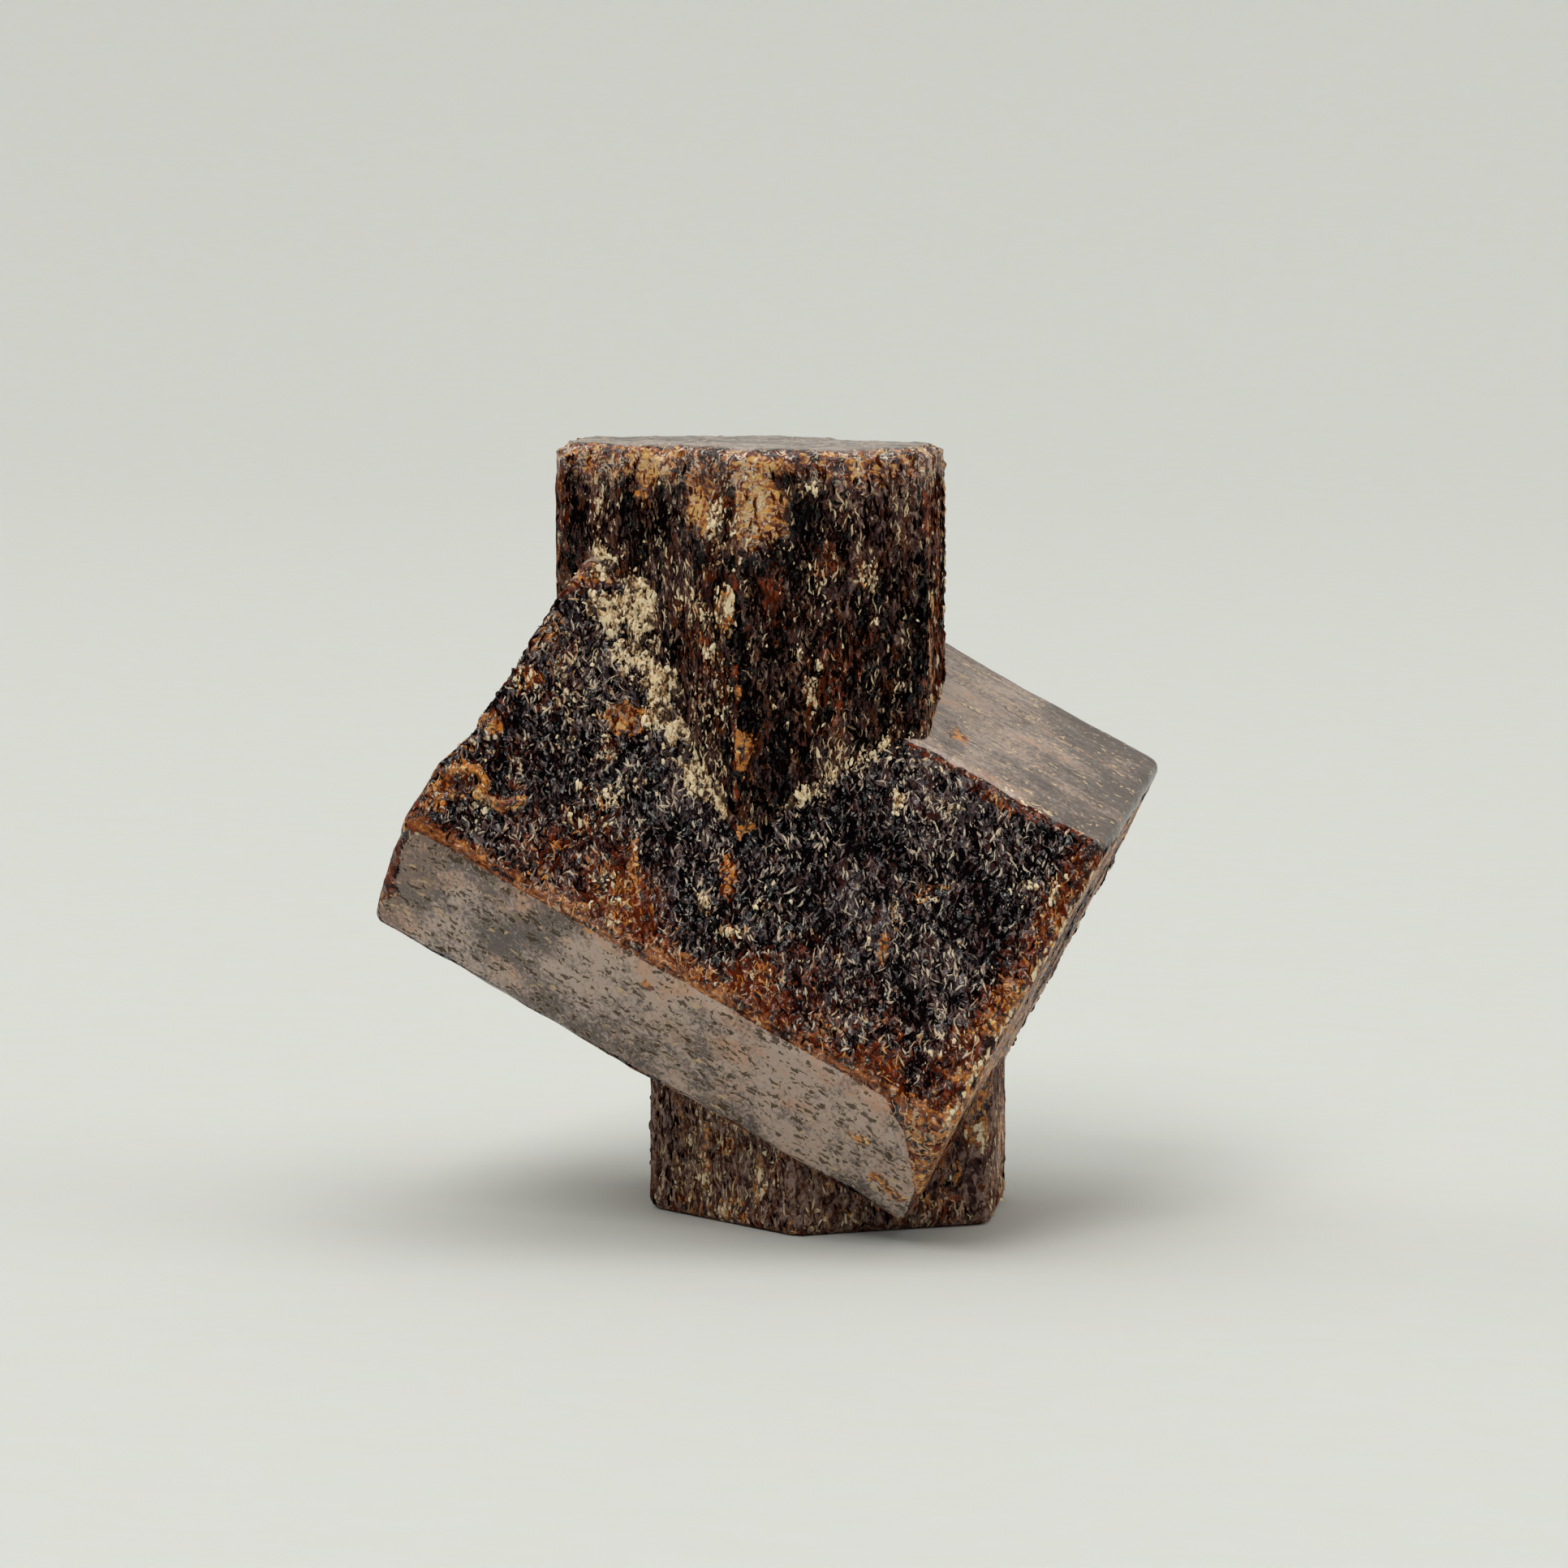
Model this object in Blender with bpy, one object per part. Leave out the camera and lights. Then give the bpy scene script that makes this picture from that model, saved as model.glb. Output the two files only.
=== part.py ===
"""Staurolite twin: two stubby six-sided prisms grown through each other at about sixty degrees.

The upright prism stands on its flat lower end. Its two arms are a little out of line with each other,
as the arms of natural twins often are. The inclined prism runs from upper left to lower right, and its
right end comes forward. Both are one solid, with worn edges, chips, pits and a granular crust in the
corners where they meet. Sizes are in millimetres and become metres where points are made.
"""

import math
import random

import bmesh
import bpy
import numpy as np
from mathutils import Matrix, Vector, noise

MM = 0.001
SEED = 231

# Angles between the side faces of a staurolite prism, in degrees: four m faces and two b faces
M_TO_M = 50.7
M_TO_B = (180.0 - M_TO_M) / 2

# Upright prism: the turn of its front left m face, then how far each face lies from the arm's axis.
# The order is front left m, front right b, right m, back right m, back left b, left m.
UPRIGHT_STEPS = (M_TO_B, M_TO_B, M_TO_M, M_TO_B, M_TO_B)
UPRIGHT_FIRST_TURN = -121.2
FRONT_LEFT, FRONT_RIGHT, RIGHT, BACK_RIGHT, BACK_LEFT, LEFT = range(6)
UPPER_AXIS_AT = (-1.37, 0.70, 0.0)
UPPER_FACES = (5.14, 6.50, 5.98, 4.80, 5.80, 5.85)
UPPER_SPAN = (12.4, 23.76)
UPPER_FOOT_RISE_TO_BACK = 0.21
TOP_FALL_TO_BACK = 0.032
LOWER_AXIS_AT = (0.15, 1.92, 0.0)
LOWER_FACES = (5.17, 6.54, 6.22, 4.46, 5.44, 4.62)
LOWER_SPAN = (0.0, 12.9)
UPRIGHT_WEAR = 0.36

# Inclined prism: the lean of its axis from upright, the swing of that lean, the turn of its front m face.
# The order is front m, upper m, upper back b, back m, lower m, lower front b.
INCLINED_STEPS = (M_TO_M, M_TO_B, M_TO_B, M_TO_M, M_TO_B)
INCLINED_LEAN = 62.4
INCLINED_SWING = 182.1
INCLINED_FIRST_TURN = 29.13
FRONT, UPPER, UPPER_BACK, BACK, UNDER, LOWER_FRONT = range(6)
INCLINED_AXIS_AT = (-1.37, -0.09, 12.00)
INCLINED_FACES = (5.63, 6.06, 8.60, 5.73, 6.14, 8.68)
INCLINED_SPAN = (-10.85, 8.05)
RIGHT_END_FALL_TO_BACK = 0.066
RIGHT_END_FRONT_AT = 5.4
LEFT_END_STEP = 0.42
LEFT_END_STEP_FROM, LEFT_END_STEP_TO = -4.6, -3.2
INCLINED_WEAR = 0.42

# Spacing of the points that carry the relief, and the rings that round off and fill the ends
CELL = 0.88
RIM_STEPS = 2
CAP_INSETS = (2.7, 1.5, 0.6)

# Relief of the faces: a slow swell, and a finer grain that is strongest on the rough inclined prism
SWELL, SWELL_LENGTH = 0.070, 3.4
GRAIN, GRAIN_LENGTH = 0.050, 1.3
UPRIGHT_ROUGHNESS, INCLINED_ROUGHNESS = 0.6, 1.0
FLAT_FOOT = 0.75

# Chips broken from edges and faces: face, along and across it, then length, width and depth
UPPER_CHIPS = (
    (FRONT_LEFT, 22.85, 0.70, 0.85, 0.55, 0.26),
    (FRONT_LEFT, 22.75, 3.70, 1.00, 1.00, 0.24),
    (FRONT_RIGHT, 22.30, -1.60, 1.35, 0.90, 0.26),
    (FRONT_RIGHT, 21.20, -1.00, 0.80, 0.65, 0.20),
    (FRONT_RIGHT, 23.45, 3.55, 0.45, 0.60, 0.40),
    (RIGHT, 23.20, 1.30, 0.80, 1.10, 0.22),
    (BACK_LEFT, 22.90, -1.40, 0.90, 1.30, 0.35),
)
LOWER_CHIPS = (
    (FRONT_LEFT, 0.20, -3.10, 0.60, 0.80, 0.36),
    (RIGHT, 0.25, -1.90, 0.60, 0.70, 0.36),
    (BACK_RIGHT, 0.20, 1.00, 0.50, 1.30, 0.30),
)
INCLINED_CHIPS = (
    (FRONT, -10.55, -7.90, 1.10, 1.00, 0.42),
    (FRONT, -10.60, -2.10, 0.75, 1.20, 0.34),
    (FRONT, 7.35, -2.90, 0.60, 0.80, 0.30),
    (FRONT, 7.35, 2.60, 0.90, 0.90, 0.30),
    (UPPER, -5.40, 6.35, 0.70, 0.35, 0.30),
    (UPPER, -10.40, 5.60, 0.70, 0.90, 0.45),
    (LOWER_FRONT, -8.77, -0.30, 0.55, 0.38, 0.26),
    (LOWER_FRONT, -9.90, -1.90, 0.65, 0.50, 0.30),
    (LOWER_FRONT, 7.20, -2.60, 0.70, 0.70, 0.40),
    (UPPER_BACK, -8.20, 0.90, 1.30, 0.90, 0.30),
    (BACK, 5.60, 1.80, 1.20, 1.40, 0.28),
)

# Pits of the rough front face, measured one by one, and how many smaller ones lie among them
FRONT_PITS = (
    (-6.65, -0.64, 0.62, 0.40, 0.24),
    (3.76, -0.67, 0.62, 0.56, 0.26),
    (2.84, -3.84, 0.80, 0.62, 0.22),
    (-6.82, -2.48, 0.75, 0.34, 0.20),
    (-1.60, -4.60, 0.60, 0.36, 0.20),
    (5.30, 0.30, 0.55, 0.40, 0.20),
)
SMALL_PITS = 17
SMALL_PIT_ALONG = (-9.6, 6.8)
SMALL_PIT_ACROSS = (-6.6, 2.4)
SMALL_PIT_SIZE = (0.26, 0.44)
SMALL_PIT_DEPTH = 0.17
PIT_CLEARANCE = 0.3

# How blunt the tips of the cutters are against their depth, how far each is turned, and how uneven it is
CHIP_BLUNTNESS, CHIP_TURN = 2.2, 0.4
PIT_BLUNTNESS, PIT_TURN = 1.5, 0.8
UNEVENNESS, UNEVENNESS_DETAIL = 0.35, 1.4

# Crust in the two front corners between the prisms: grain size and shape, where each run of grains lies
# along the inclined axis, and how far it spreads from the corner at either end of the run
CRUST_GRAIN, CRUST_WIDTH, CRUST_HEIGHT = (0.24, 0.40), 0.85, 0.62
LEFT_CRUST_GRAINS = 30
LEFT_CRUST_ALONG = (1.0, 7.2)
LEFT_CRUST_SPREAD = (0.45, 1.60)
LEFT_CRUST_SIDES = (-1.0, 0.35)
RIGHT_CRUST_GRAINS = 13
RIGHT_CRUST_ALONG = (-1.3, -3.4)
RIGHT_CRUST_SPREAD = (0.10, 0.16)
RIGHT_CRUST_SIDES = (-1.0, 1.0)

# Short ridge near the left end of the rough face: along, across, length, width and height of its lumps
RIDGE_TURN = -0.55
RIDGE_LUMPS = (
    (7.15, -4.35, 0.55, 0.42, 0.28),
    (6.45, -4.75, 0.60, 0.34, 0.22),
    (5.80, -5.10, 0.50, 0.26, 0.18),
)


def unit(vector):
    vector = np.asarray(vector, float)
    return vector / np.linalg.norm(vector)


class Prism:
    """Where a prism's axis and faces lie."""

    def __init__(self, lean, swing, first_turn, steps, axis_at, distances):
        lean, swing = math.radians(lean), math.radians(swing)
        level = math.sin(lean)
        self.axis = np.array([level * math.cos(swing), level * math.sin(swing), math.cos(lean)])
        self.across = unit(np.cross([0, 0, 1], self.axis)) if level > 0 else np.array([1.0, 0.0, 0.0])
        self.over = np.cross(self.axis, self.across)
        turns = np.radians(first_turn + np.concatenate([[0.0], np.cumsum(steps)]))
        self.directions = np.stack([np.cos(turns), np.sin(turns)], axis=1)
        self.at = np.array(axis_at)
        self.distances = np.array(distances)

    def place(self, x, y, height):
        return self.at + self.across * x + self.over * y + self.axis * height

    def normal(self, face):
        return self.across * self.directions[face][0] + self.over * self.directions[face][1]

    def spot(self, face, along, across):
        """A point by its place on a face, with the directions along, across and out of that face."""
        out = self.normal(face)
        sideways = np.cross(self.axis, out)
        point = self.at + self.axis * along + sideways * across + out * self.distances[face]
        return point, self.axis, sideways, out

    def clearance(self, point):
        """How far a point lies outside the prism's side faces."""
        return max(self.normal(i) @ (point - self.at) - self.distances[i] for i in range(6))

    def corners(self, inset=0.0):
        found = []
        for i in range(6):
            pair = self.directions[[i, (i + 1) % 6]]
            found.append(np.linalg.solve(pair, self.distances[[i, (i + 1) % 6]] - inset))
        return np.array(found)

    def section(self, inset, wear, counts):
        """Points round the cross-section, its corners worn round, with the same count at each inset."""
        corners = self.corners(inset)
        points = []
        for i in range(6):
            start, end = corners[i - 1], corners[i]
            following = corners[(i + 1) % 6]
            cut = min(wear, 0.3 * np.linalg.norm(end - start))
            worn_start = start + unit(end - start) * cut
            worn_end = end - unit(end - start) * cut
            points += [worn_start + (worn_end - worn_start) * k / counts[i] for k in range(counts[i] + 1)]
            next_cut = min(wear, 0.3 * np.linalg.norm(following - end))
            worn_next = end + unit(following - end) * next_cut
            points.append(0.25 * worn_end + 0.5 * end + 0.25 * worn_next)
        return points


def ring_plan(length, wear):
    """Distance from the start end and inset of each ring, from one cap to the other."""
    bends = np.linspace(0.0, math.pi / 2, RIM_STEPS + 1)
    start = [(0.0, wear + step) for step in CAP_INSETS]
    start += [(wear * (1 - math.cos(bend)), wear * (1 - math.sin(bend))) for bend in bends]
    side = length - 2 * wear
    count = max(2, round(side / CELL))
    middle = [(wear + side * k / count, 0.0) for k in range(1, count)]
    return start + middle + [(length - along, inset) for along, inset in reversed(start)]


def relief(point, roughness):
    """Swell and grain at a point, in millimetres along the face normal."""
    swell = SWELL * noise.noise(point / SWELL_LENGTH + Vector((3.1, 7.7, 1.9)))
    grain = GRAIN * roughness * noise.noise(point / GRAIN_LENGTH + Vector((9.4, 2.2, 5.6)))
    standing = min(1.0, max(0.0, point.z / FLAT_FOOT - 1.0))
    return (swell + grain) * standing


def make_object(name, mesh):
    data = bpy.data.meshes.new(name)
    mesh.to_mesh(data)
    mesh.free()
    piece = bpy.data.objects.new(name, data)
    bpy.context.scene.collection.objects.link(piece)
    return piece


def make_prism(name, prism, span, wear, start_shift, end_shift, roughness):
    """One arm or one whole prism: rings of points along its axis, capped at both ends."""
    corners = prism.corners()
    sides = [np.linalg.norm(corners[i] - corners[i - 1]) - 2 * wear for i in range(6)]
    counts = [max(2, round(side / CELL)) for side in sides]
    length = span[1] - span[0]
    mesh = bmesh.new()
    rings = []
    for along, inset in ring_plan(length, wear):
        ring = []
        for x, y in prism.section(inset, wear, counts):
            low = span[0] + start_shift(x, y)
            high = span[1] + end_shift(x, y)
            ring.append(mesh.verts.new(prism.place(x, y, low + (high - low) * along / length)))
        rings.append(ring)
    for lower, upper in zip(rings, rings[1:]):
        for k in range(len(lower)):
            following = (k + 1) % len(lower)
            mesh.faces.new((lower[k], lower[following], upper[following], upper[k]))
    for ring, turned in ((rings[0], True), (rings[-1], False)):
        hub = mesh.verts.new(sum((vert.co for vert in ring), Vector()) / len(ring))
        for k in range(len(ring)):
            edge = (ring[k], ring[(k + 1) % len(ring)])
            mesh.faces.new((*(reversed(edge) if turned else edge), hub))
    bmesh.ops.triangulate(mesh, faces=mesh.faces[:])
    mesh.normal_update()
    moves = [vert.normal * relief(vert.co, roughness) for vert in mesh.verts]
    for vert, move in zip(mesh.verts, moves):
        vert.co = (vert.co + move) * MM
    return make_object(name, mesh)


def add_lump(mesh, spot, length, width, height, sunk, turn, jitter):
    """A faceted lump on a face, to join or to cut: its middle lies sunk below the face."""
    point, along, across, out = spot
    turned_along = along * math.cos(turn) + across * math.sin(turn)
    turned_across = np.cross(out, turned_along)
    made = bmesh.ops.create_icosphere(mesh, subdivisions=1, radius=1.0)["verts"]
    shift = Vector([jitter.uniform(-9.0, 9.0) for _ in range(3)])
    basis = Matrix((turned_along * length, turned_across * width, out * height)).transposed()
    middle = Vector(point - out * sunk)
    for vert in made:
        uneven = 1.0 + UNEVENNESS * noise.noise(vert.co * UNEVENNESS_DETAIL + shift)
        vert.co = (middle + basis @ (vert.co * uneven)) * MM


def make_chips(name, prism, chips, jitter):
    """Shallow hollows: each cutter's middle stands off the face, so that only its tip bites in."""
    mesh = bmesh.new()
    for face, along, across, length, width, depth in chips:
        height = CHIP_BLUNTNESS * depth
        spot = prism.spot(face, along, across)
        turn = jitter.uniform(-CHIP_TURN, CHIP_TURN)
        add_lump(mesh, spot, 1.2 * length, 1.2 * width, height, depth - height, turn, jitter)
    return make_object(name, mesh)


def make_pits(name, prism, hiding_prism, jitter):
    """The measured pits of the rough face, then small ones placed clear of them and of the upright arm."""
    pits = list(FRONT_PITS)
    while len(pits) < len(FRONT_PITS) + SMALL_PITS:
        along, across = jitter.uniform(*SMALL_PIT_ALONG), jitter.uniform(*SMALL_PIT_ACROSS)
        size = jitter.uniform(*SMALL_PIT_SIZE)
        apart = all(math.hypot(along - p[0], across - p[1]) > size + p[2] + PIT_CLEARANCE for p in pits)
        seen = hiding_prism.clearance(prism.spot(FRONT, along, across)[0]) > size + PIT_CLEARANCE
        if apart and seen:
            pits.append((along, across, size, 0.7 * size, SMALL_PIT_DEPTH))
    mesh = bmesh.new()
    for along, across, length, width, depth in pits:
        height = PIT_BLUNTNESS * depth
        spot = prism.spot(FRONT, along, across)
        turn = jitter.uniform(-PIT_TURN, PIT_TURN)
        add_lump(mesh, spot, 1.1 * length, 1.1 * width, height, depth - height, turn, jitter)
    return make_object(name, mesh)


def beside_corner(upright, upright_face, inclined, along, away):
    """A spot beside the line where an upright face meets the inclined front face.

    It lies on the upright face where away is above nought, and on the inclined one where it is below.
    """
    up, front = upright.normal(upright_face), inclined.normal(FRONT)
    line = unit(np.cross(up, front))
    rows = np.array([up, front, inclined.axis])
    reach = (
        upright.distances[upright_face] + up @ upright.at,
        inclined.distances[FRONT] + front @ inclined.at,
        inclined.axis @ inclined.at + along,
    )
    out, towards = (up, front) if away > 0 else (front, up)
    sideways = unit(towards - out * (towards @ out))
    return np.linalg.solve(rows, reach) + sideways * abs(away), line, np.cross(out, line), out


def make_crust(name, upright, inclined, jitter):
    """Grains in the two corners of the front, and the short ridge near the inclined prism's left end."""
    mesh = bmesh.new()
    runs = (
        (FRONT_LEFT, LEFT_CRUST_GRAINS, LEFT_CRUST_ALONG, LEFT_CRUST_SPREAD, LEFT_CRUST_SIDES),
        (FRONT_RIGHT, RIGHT_CRUST_GRAINS, RIGHT_CRUST_ALONG, RIGHT_CRUST_SPREAD, RIGHT_CRUST_SIDES),
    )
    for face, grains, reach, spread, sides in runs:
        for k in range(grains):
            share = (k + jitter.random()) / grains
            along = reach[0] + share * (reach[1] - reach[0])
            away = jitter.uniform(*sides) * (spread[0] + share * (spread[1] - spread[0]))
            size = jitter.uniform(*CRUST_GRAIN)
            spot = beside_corner(upright, face, inclined, along, away)
            turn = jitter.uniform(-math.pi / 2, math.pi / 2)
            add_lump(mesh, spot, size, CRUST_WIDTH * size, CRUST_HEIGHT * size, 0.0, turn, jitter)
    for along, across, length, width, height in RIDGE_LUMPS:
        add_lump(mesh, inclined.spot(FRONT, along, across), length, width, height, 0.0, RIDGE_TURN, jitter)
    return make_object(name, mesh)


def join_or_cut(body, other, operation, overlapping=False):
    change = body.modifiers.new(other.name, "BOOLEAN")
    change.operation = operation
    change.solver = "EXACT"
    change.use_self = overlapping
    change.object = other
    other.hide_render = True
    other.display_type = "WIRE"


for old in list(bpy.data.objects):
    bpy.data.objects.remove(old, do_unlink=True)

chance = random.Random(SEED)
upper_prism = Prism(0.0, 0.0, UPRIGHT_FIRST_TURN, UPRIGHT_STEPS, UPPER_AXIS_AT, UPPER_FACES)
lower_prism = Prism(0.0, 0.0, UPRIGHT_FIRST_TURN, UPRIGHT_STEPS, LOWER_AXIS_AT, LOWER_FACES)
inclined_prism = Prism(
    INCLINED_LEAN, INCLINED_SWING, INCLINED_FIRST_TURN, INCLINED_STEPS, INCLINED_AXIS_AT, INCLINED_FACES
)


def level(x, y):
    return 0.0


def top_fall(x, y):
    return -TOP_FALL_TO_BACK * y


def foot_rise(x, y):
    return UPPER_FOOT_RISE_TO_BACK * y


def right_end_fall(x, y):
    """The right end is cut back towards the rear, so that it is seen nearly edge on."""
    rearward = inclined_prism.place(x, y, 0.0)[1] + RIGHT_END_FRONT_AT
    return RIGHT_END_FALL_TO_BACK * rearward


def left_end_step(x, y):
    """The upper part of the left end is broken back by a step."""
    sideways = np.cross(inclined_prism.axis, inclined_prism.normal(FRONT))
    over = (inclined_prism.place(x, y, 0.0) - inclined_prism.at) @ sideways
    share = (over - LEFT_END_STEP_FROM) / (LEFT_END_STEP_TO - LEFT_END_STEP_FROM)
    return -LEFT_END_STEP * min(1.0, max(0.0, share))


cross = make_prism(
    "staurolite_cross", inclined_prism, INCLINED_SPAN, INCLINED_WEAR,
    right_end_fall, left_end_step, INCLINED_ROUGHNESS,
)
upper_arm = make_prism(
    "upper_arm", upper_prism, UPPER_SPAN, UPRIGHT_WEAR, foot_rise, top_fall, UPRIGHT_ROUGHNESS
)
lower_arm = make_prism("lower_arm", lower_prism, LOWER_SPAN, UPRIGHT_WEAR, level, level, UPRIGHT_ROUGHNESS)
join_or_cut(cross, upper_arm, "UNION")
join_or_cut(cross, lower_arm, "UNION")
join_or_cut(cross, make_crust("crust", upper_prism, inclined_prism, chance), "UNION", True)
join_or_cut(cross, make_pits("pits", inclined_prism, upper_prism, chance), "DIFFERENCE", True)
join_or_cut(cross, make_chips("upper_chips", upper_prism, UPPER_CHIPS, chance), "DIFFERENCE", True)
join_or_cut(cross, make_chips("lower_chips", lower_prism, LOWER_CHIPS, chance), "DIFFERENCE", True)
join_or_cut(cross, make_chips("inclined_chips", inclined_prism, INCLINED_CHIPS, chance), "DIFFERENCE", True)

stone = bpy.data.materials.new("staurolite")
stone.use_nodes = True
shader = stone.node_tree.nodes["Principled BSDF"]
shader.inputs["Base Color"].default_value = (0.045, 0.026, 0.022, 1.0)
shader.inputs["Roughness"].default_value = 0.55
cross.data.materials.append(stone)
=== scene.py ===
import itertools
import math
import random

import bmesh
import bpy
import numpy as np
from mathutils import Matrix, Vector, geometry, noise


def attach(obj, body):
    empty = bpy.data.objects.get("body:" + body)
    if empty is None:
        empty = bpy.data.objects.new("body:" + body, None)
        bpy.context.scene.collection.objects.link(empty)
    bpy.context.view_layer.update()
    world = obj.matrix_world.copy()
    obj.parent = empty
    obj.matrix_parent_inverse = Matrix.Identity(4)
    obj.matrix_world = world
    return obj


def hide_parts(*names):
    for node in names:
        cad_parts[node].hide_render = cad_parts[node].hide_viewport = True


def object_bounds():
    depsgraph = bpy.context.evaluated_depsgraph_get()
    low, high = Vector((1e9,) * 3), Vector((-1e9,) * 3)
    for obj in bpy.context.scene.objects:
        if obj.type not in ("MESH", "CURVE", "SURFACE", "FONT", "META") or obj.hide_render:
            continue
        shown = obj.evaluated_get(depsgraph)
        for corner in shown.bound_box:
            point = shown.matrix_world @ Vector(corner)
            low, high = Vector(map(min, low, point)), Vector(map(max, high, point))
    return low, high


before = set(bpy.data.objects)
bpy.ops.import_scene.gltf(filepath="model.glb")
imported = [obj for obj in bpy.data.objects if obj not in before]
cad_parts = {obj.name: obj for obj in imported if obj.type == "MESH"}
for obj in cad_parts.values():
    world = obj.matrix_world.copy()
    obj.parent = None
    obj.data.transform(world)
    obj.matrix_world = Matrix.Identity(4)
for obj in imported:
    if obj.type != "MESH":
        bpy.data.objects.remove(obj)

cad_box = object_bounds()
MM = 0.001

# Camera: a long lens a little above the crossing and to the right of it, as the stone was photographed.
# Its place and axes are in the part's own frame, in millimetres.
CAMERA_AT = (48.687, -179.116, 35.28)
CAMERA_RIGHT = (0.9649, 0.2627, 0.0)
CAMERA_UP = (-0.0310, 0.1139, 0.9930)
CAMERA_BACK = (0.2609, -0.9581, 0.1181)
LENS = 139.12

camera_data = bpy.data.cameras.new("camera")
camera_data.sensor_width = 36.0
camera_data.lens = LENS
camera_data.clip_start, camera_data.clip_end = 0.01, 10.0
camera = bpy.data.objects.new("camera", camera_data)
turned = Matrix((CAMERA_RIGHT, CAMERA_UP, CAMERA_BACK)).transposed()
camera.matrix_world = Matrix.Translation(Vector(CAMERA_AT) * MM) @ turned.to_4x4()
bpy.context.scene.collection.objects.link(camera)
bpy.context.scene.camera = camera

# Floor and backdrop: one pale sweep that runs flat under the stone, bends up behind it and stands.
# Soft lamps hang above and at both sides, and the front is left dim, so that the dark faces stay dark.
SWEEP_HALF_WIDTH = 1.1
SWEEP_FRONT, SWEEP_BEND_AT, SWEEP_BEND, SWEEP_TOP = -0.9, 0.30, 0.22, 1.3
SWEEP_STEPS = 12
SWEEP_PALE = (0.635, 0.65, 0.618, 1.0)
PAPER_ROUGHNESS, PAPER_FIBRES, PAPER_MOTTLE = 0.8, 900.0, 0.03
LAMPS = (
    ("above", (0.0, 0.05, 0.95), 1.30, 8.2),
    ("front_above", (-0.12, -0.60, 0.85), 0.45, 3.6),
    ("left", (-0.80, 0.12, 0.45), 0.50, 1.1),
    ("right", (0.80, 0.12, 0.45), 0.50, 1.1),
)
LAMP_COLOUR = (1.0, 0.985, 0.955)
LAMPS_AIM = (0.0, 0.0, 0.012)
ROOM_COLOUR = (0.86, 0.90, 0.92, 1.0)
ROOM_FRONT, ROOM_BACK = 0.05, 0.47
ROOM_DIM_FROM, ROOM_FULL_FROM = -0.6, 0.5


def add_node(tree, kind, sources=(), **settings):
    """A shader node with its settings, its inputs filled by name from numbers, colours or other sockets."""
    made = tree.nodes.new(kind)
    for name, value in settings.items():
        setattr(made, name, value)
    for name, source in dict(sources).items():
        if isinstance(source, bpy.types.NodeSocket):
            tree.links.new(source, made.inputs[name])
        else:
            made.inputs[name].default_value = source
    return made


profile = [(SWEEP_FRONT, 0.0), (SWEEP_BEND_AT, 0.0)]
for k in range(1, SWEEP_STEPS + 1):
    bend = math.radians(90.0 * k / SWEEP_STEPS)
    profile.append((SWEEP_BEND_AT + SWEEP_BEND * math.sin(bend), SWEEP_BEND * (1 - math.cos(bend))))
profile.append((SWEEP_BEND_AT + SWEEP_BEND, SWEEP_TOP))
corners = [(side * SWEEP_HALF_WIDTH, y, z) for y, z in profile for side in (-1, 1)]
strips = [(2 * k, 2 * k + 1, 2 * k + 3, 2 * k + 2) for k in range(len(profile) - 1)]
sweep_mesh = bpy.data.meshes.new("sweep")
sweep_mesh.from_pydata(corners, [], strips)
sweep_mesh.polygons.foreach_set("use_smooth", [True] * len(strips))
sweep = bpy.data.objects.new("sweep", sweep_mesh)
bpy.context.scene.collection.objects.link(sweep)
paper = bpy.data.materials.new("pale_paper")
paper.use_nodes = True
tree = paper.node_tree
shader = tree.nodes["Principled BSDF"]
shader.inputs["Roughness"].default_value = PAPER_ROUGHNESS
fibres = add_node(tree, "ShaderNodeTexNoise", {"Scale": PAPER_FIBRES, "Detail": 3.0}).outputs["Color"]
tone = add_node(tree, "ShaderNodeMix", {0: PAPER_MOTTLE, 6: SWEEP_PALE, 7: fibres}, data_type="RGBA")
tree.links.new(tone.outputs[2], shader.inputs["Base Color"])
sweep_mesh.materials.append(paper)

for name, at, side, power in LAMPS:
    lamp_data = bpy.data.lights.new(name, "AREA")
    lamp_data.shape = "SQUARE"
    lamp_data.size = side
    lamp_data.energy = power
    lamp_data.color = LAMP_COLOUR
    lamp = bpy.data.objects.new(name, lamp_data)
    lamp.location = at
    lamp.rotation_euler = (Vector(LAMPS_AIM) - Vector(at)).to_track_quat("-Z", "Y").to_euler()
    bpy.context.scene.collection.objects.link(lamp)
room = bpy.data.worlds.new("room")
room.use_nodes = True
tree = room.node_tree
tree.nodes["Background"].inputs["Color"].default_value = ROOM_COLOUR
towards = add_node(tree, "ShaderNodeTexCoord").outputs["Generated"]
rearward = add_node(tree, "ShaderNodeSeparateXYZ", {0: towards}).outputs["Y"]
sources = {"Value": rearward, "From Min": ROOM_DIM_FROM, "From Max": ROOM_FULL_FROM}
sources.update({"To Min": ROOM_FRONT, "To Max": ROOM_BACK})
strength = add_node(tree, "ShaderNodeMapRange", sources, interpolation_type="SMOOTHSTEP")
tree.links.new(strength.outputs[0], tree.nodes["Background"].inputs["Strength"])
bpy.context.scene.world = room
bpy.context.scene.view_settings.view_transform = "Standard"

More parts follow.
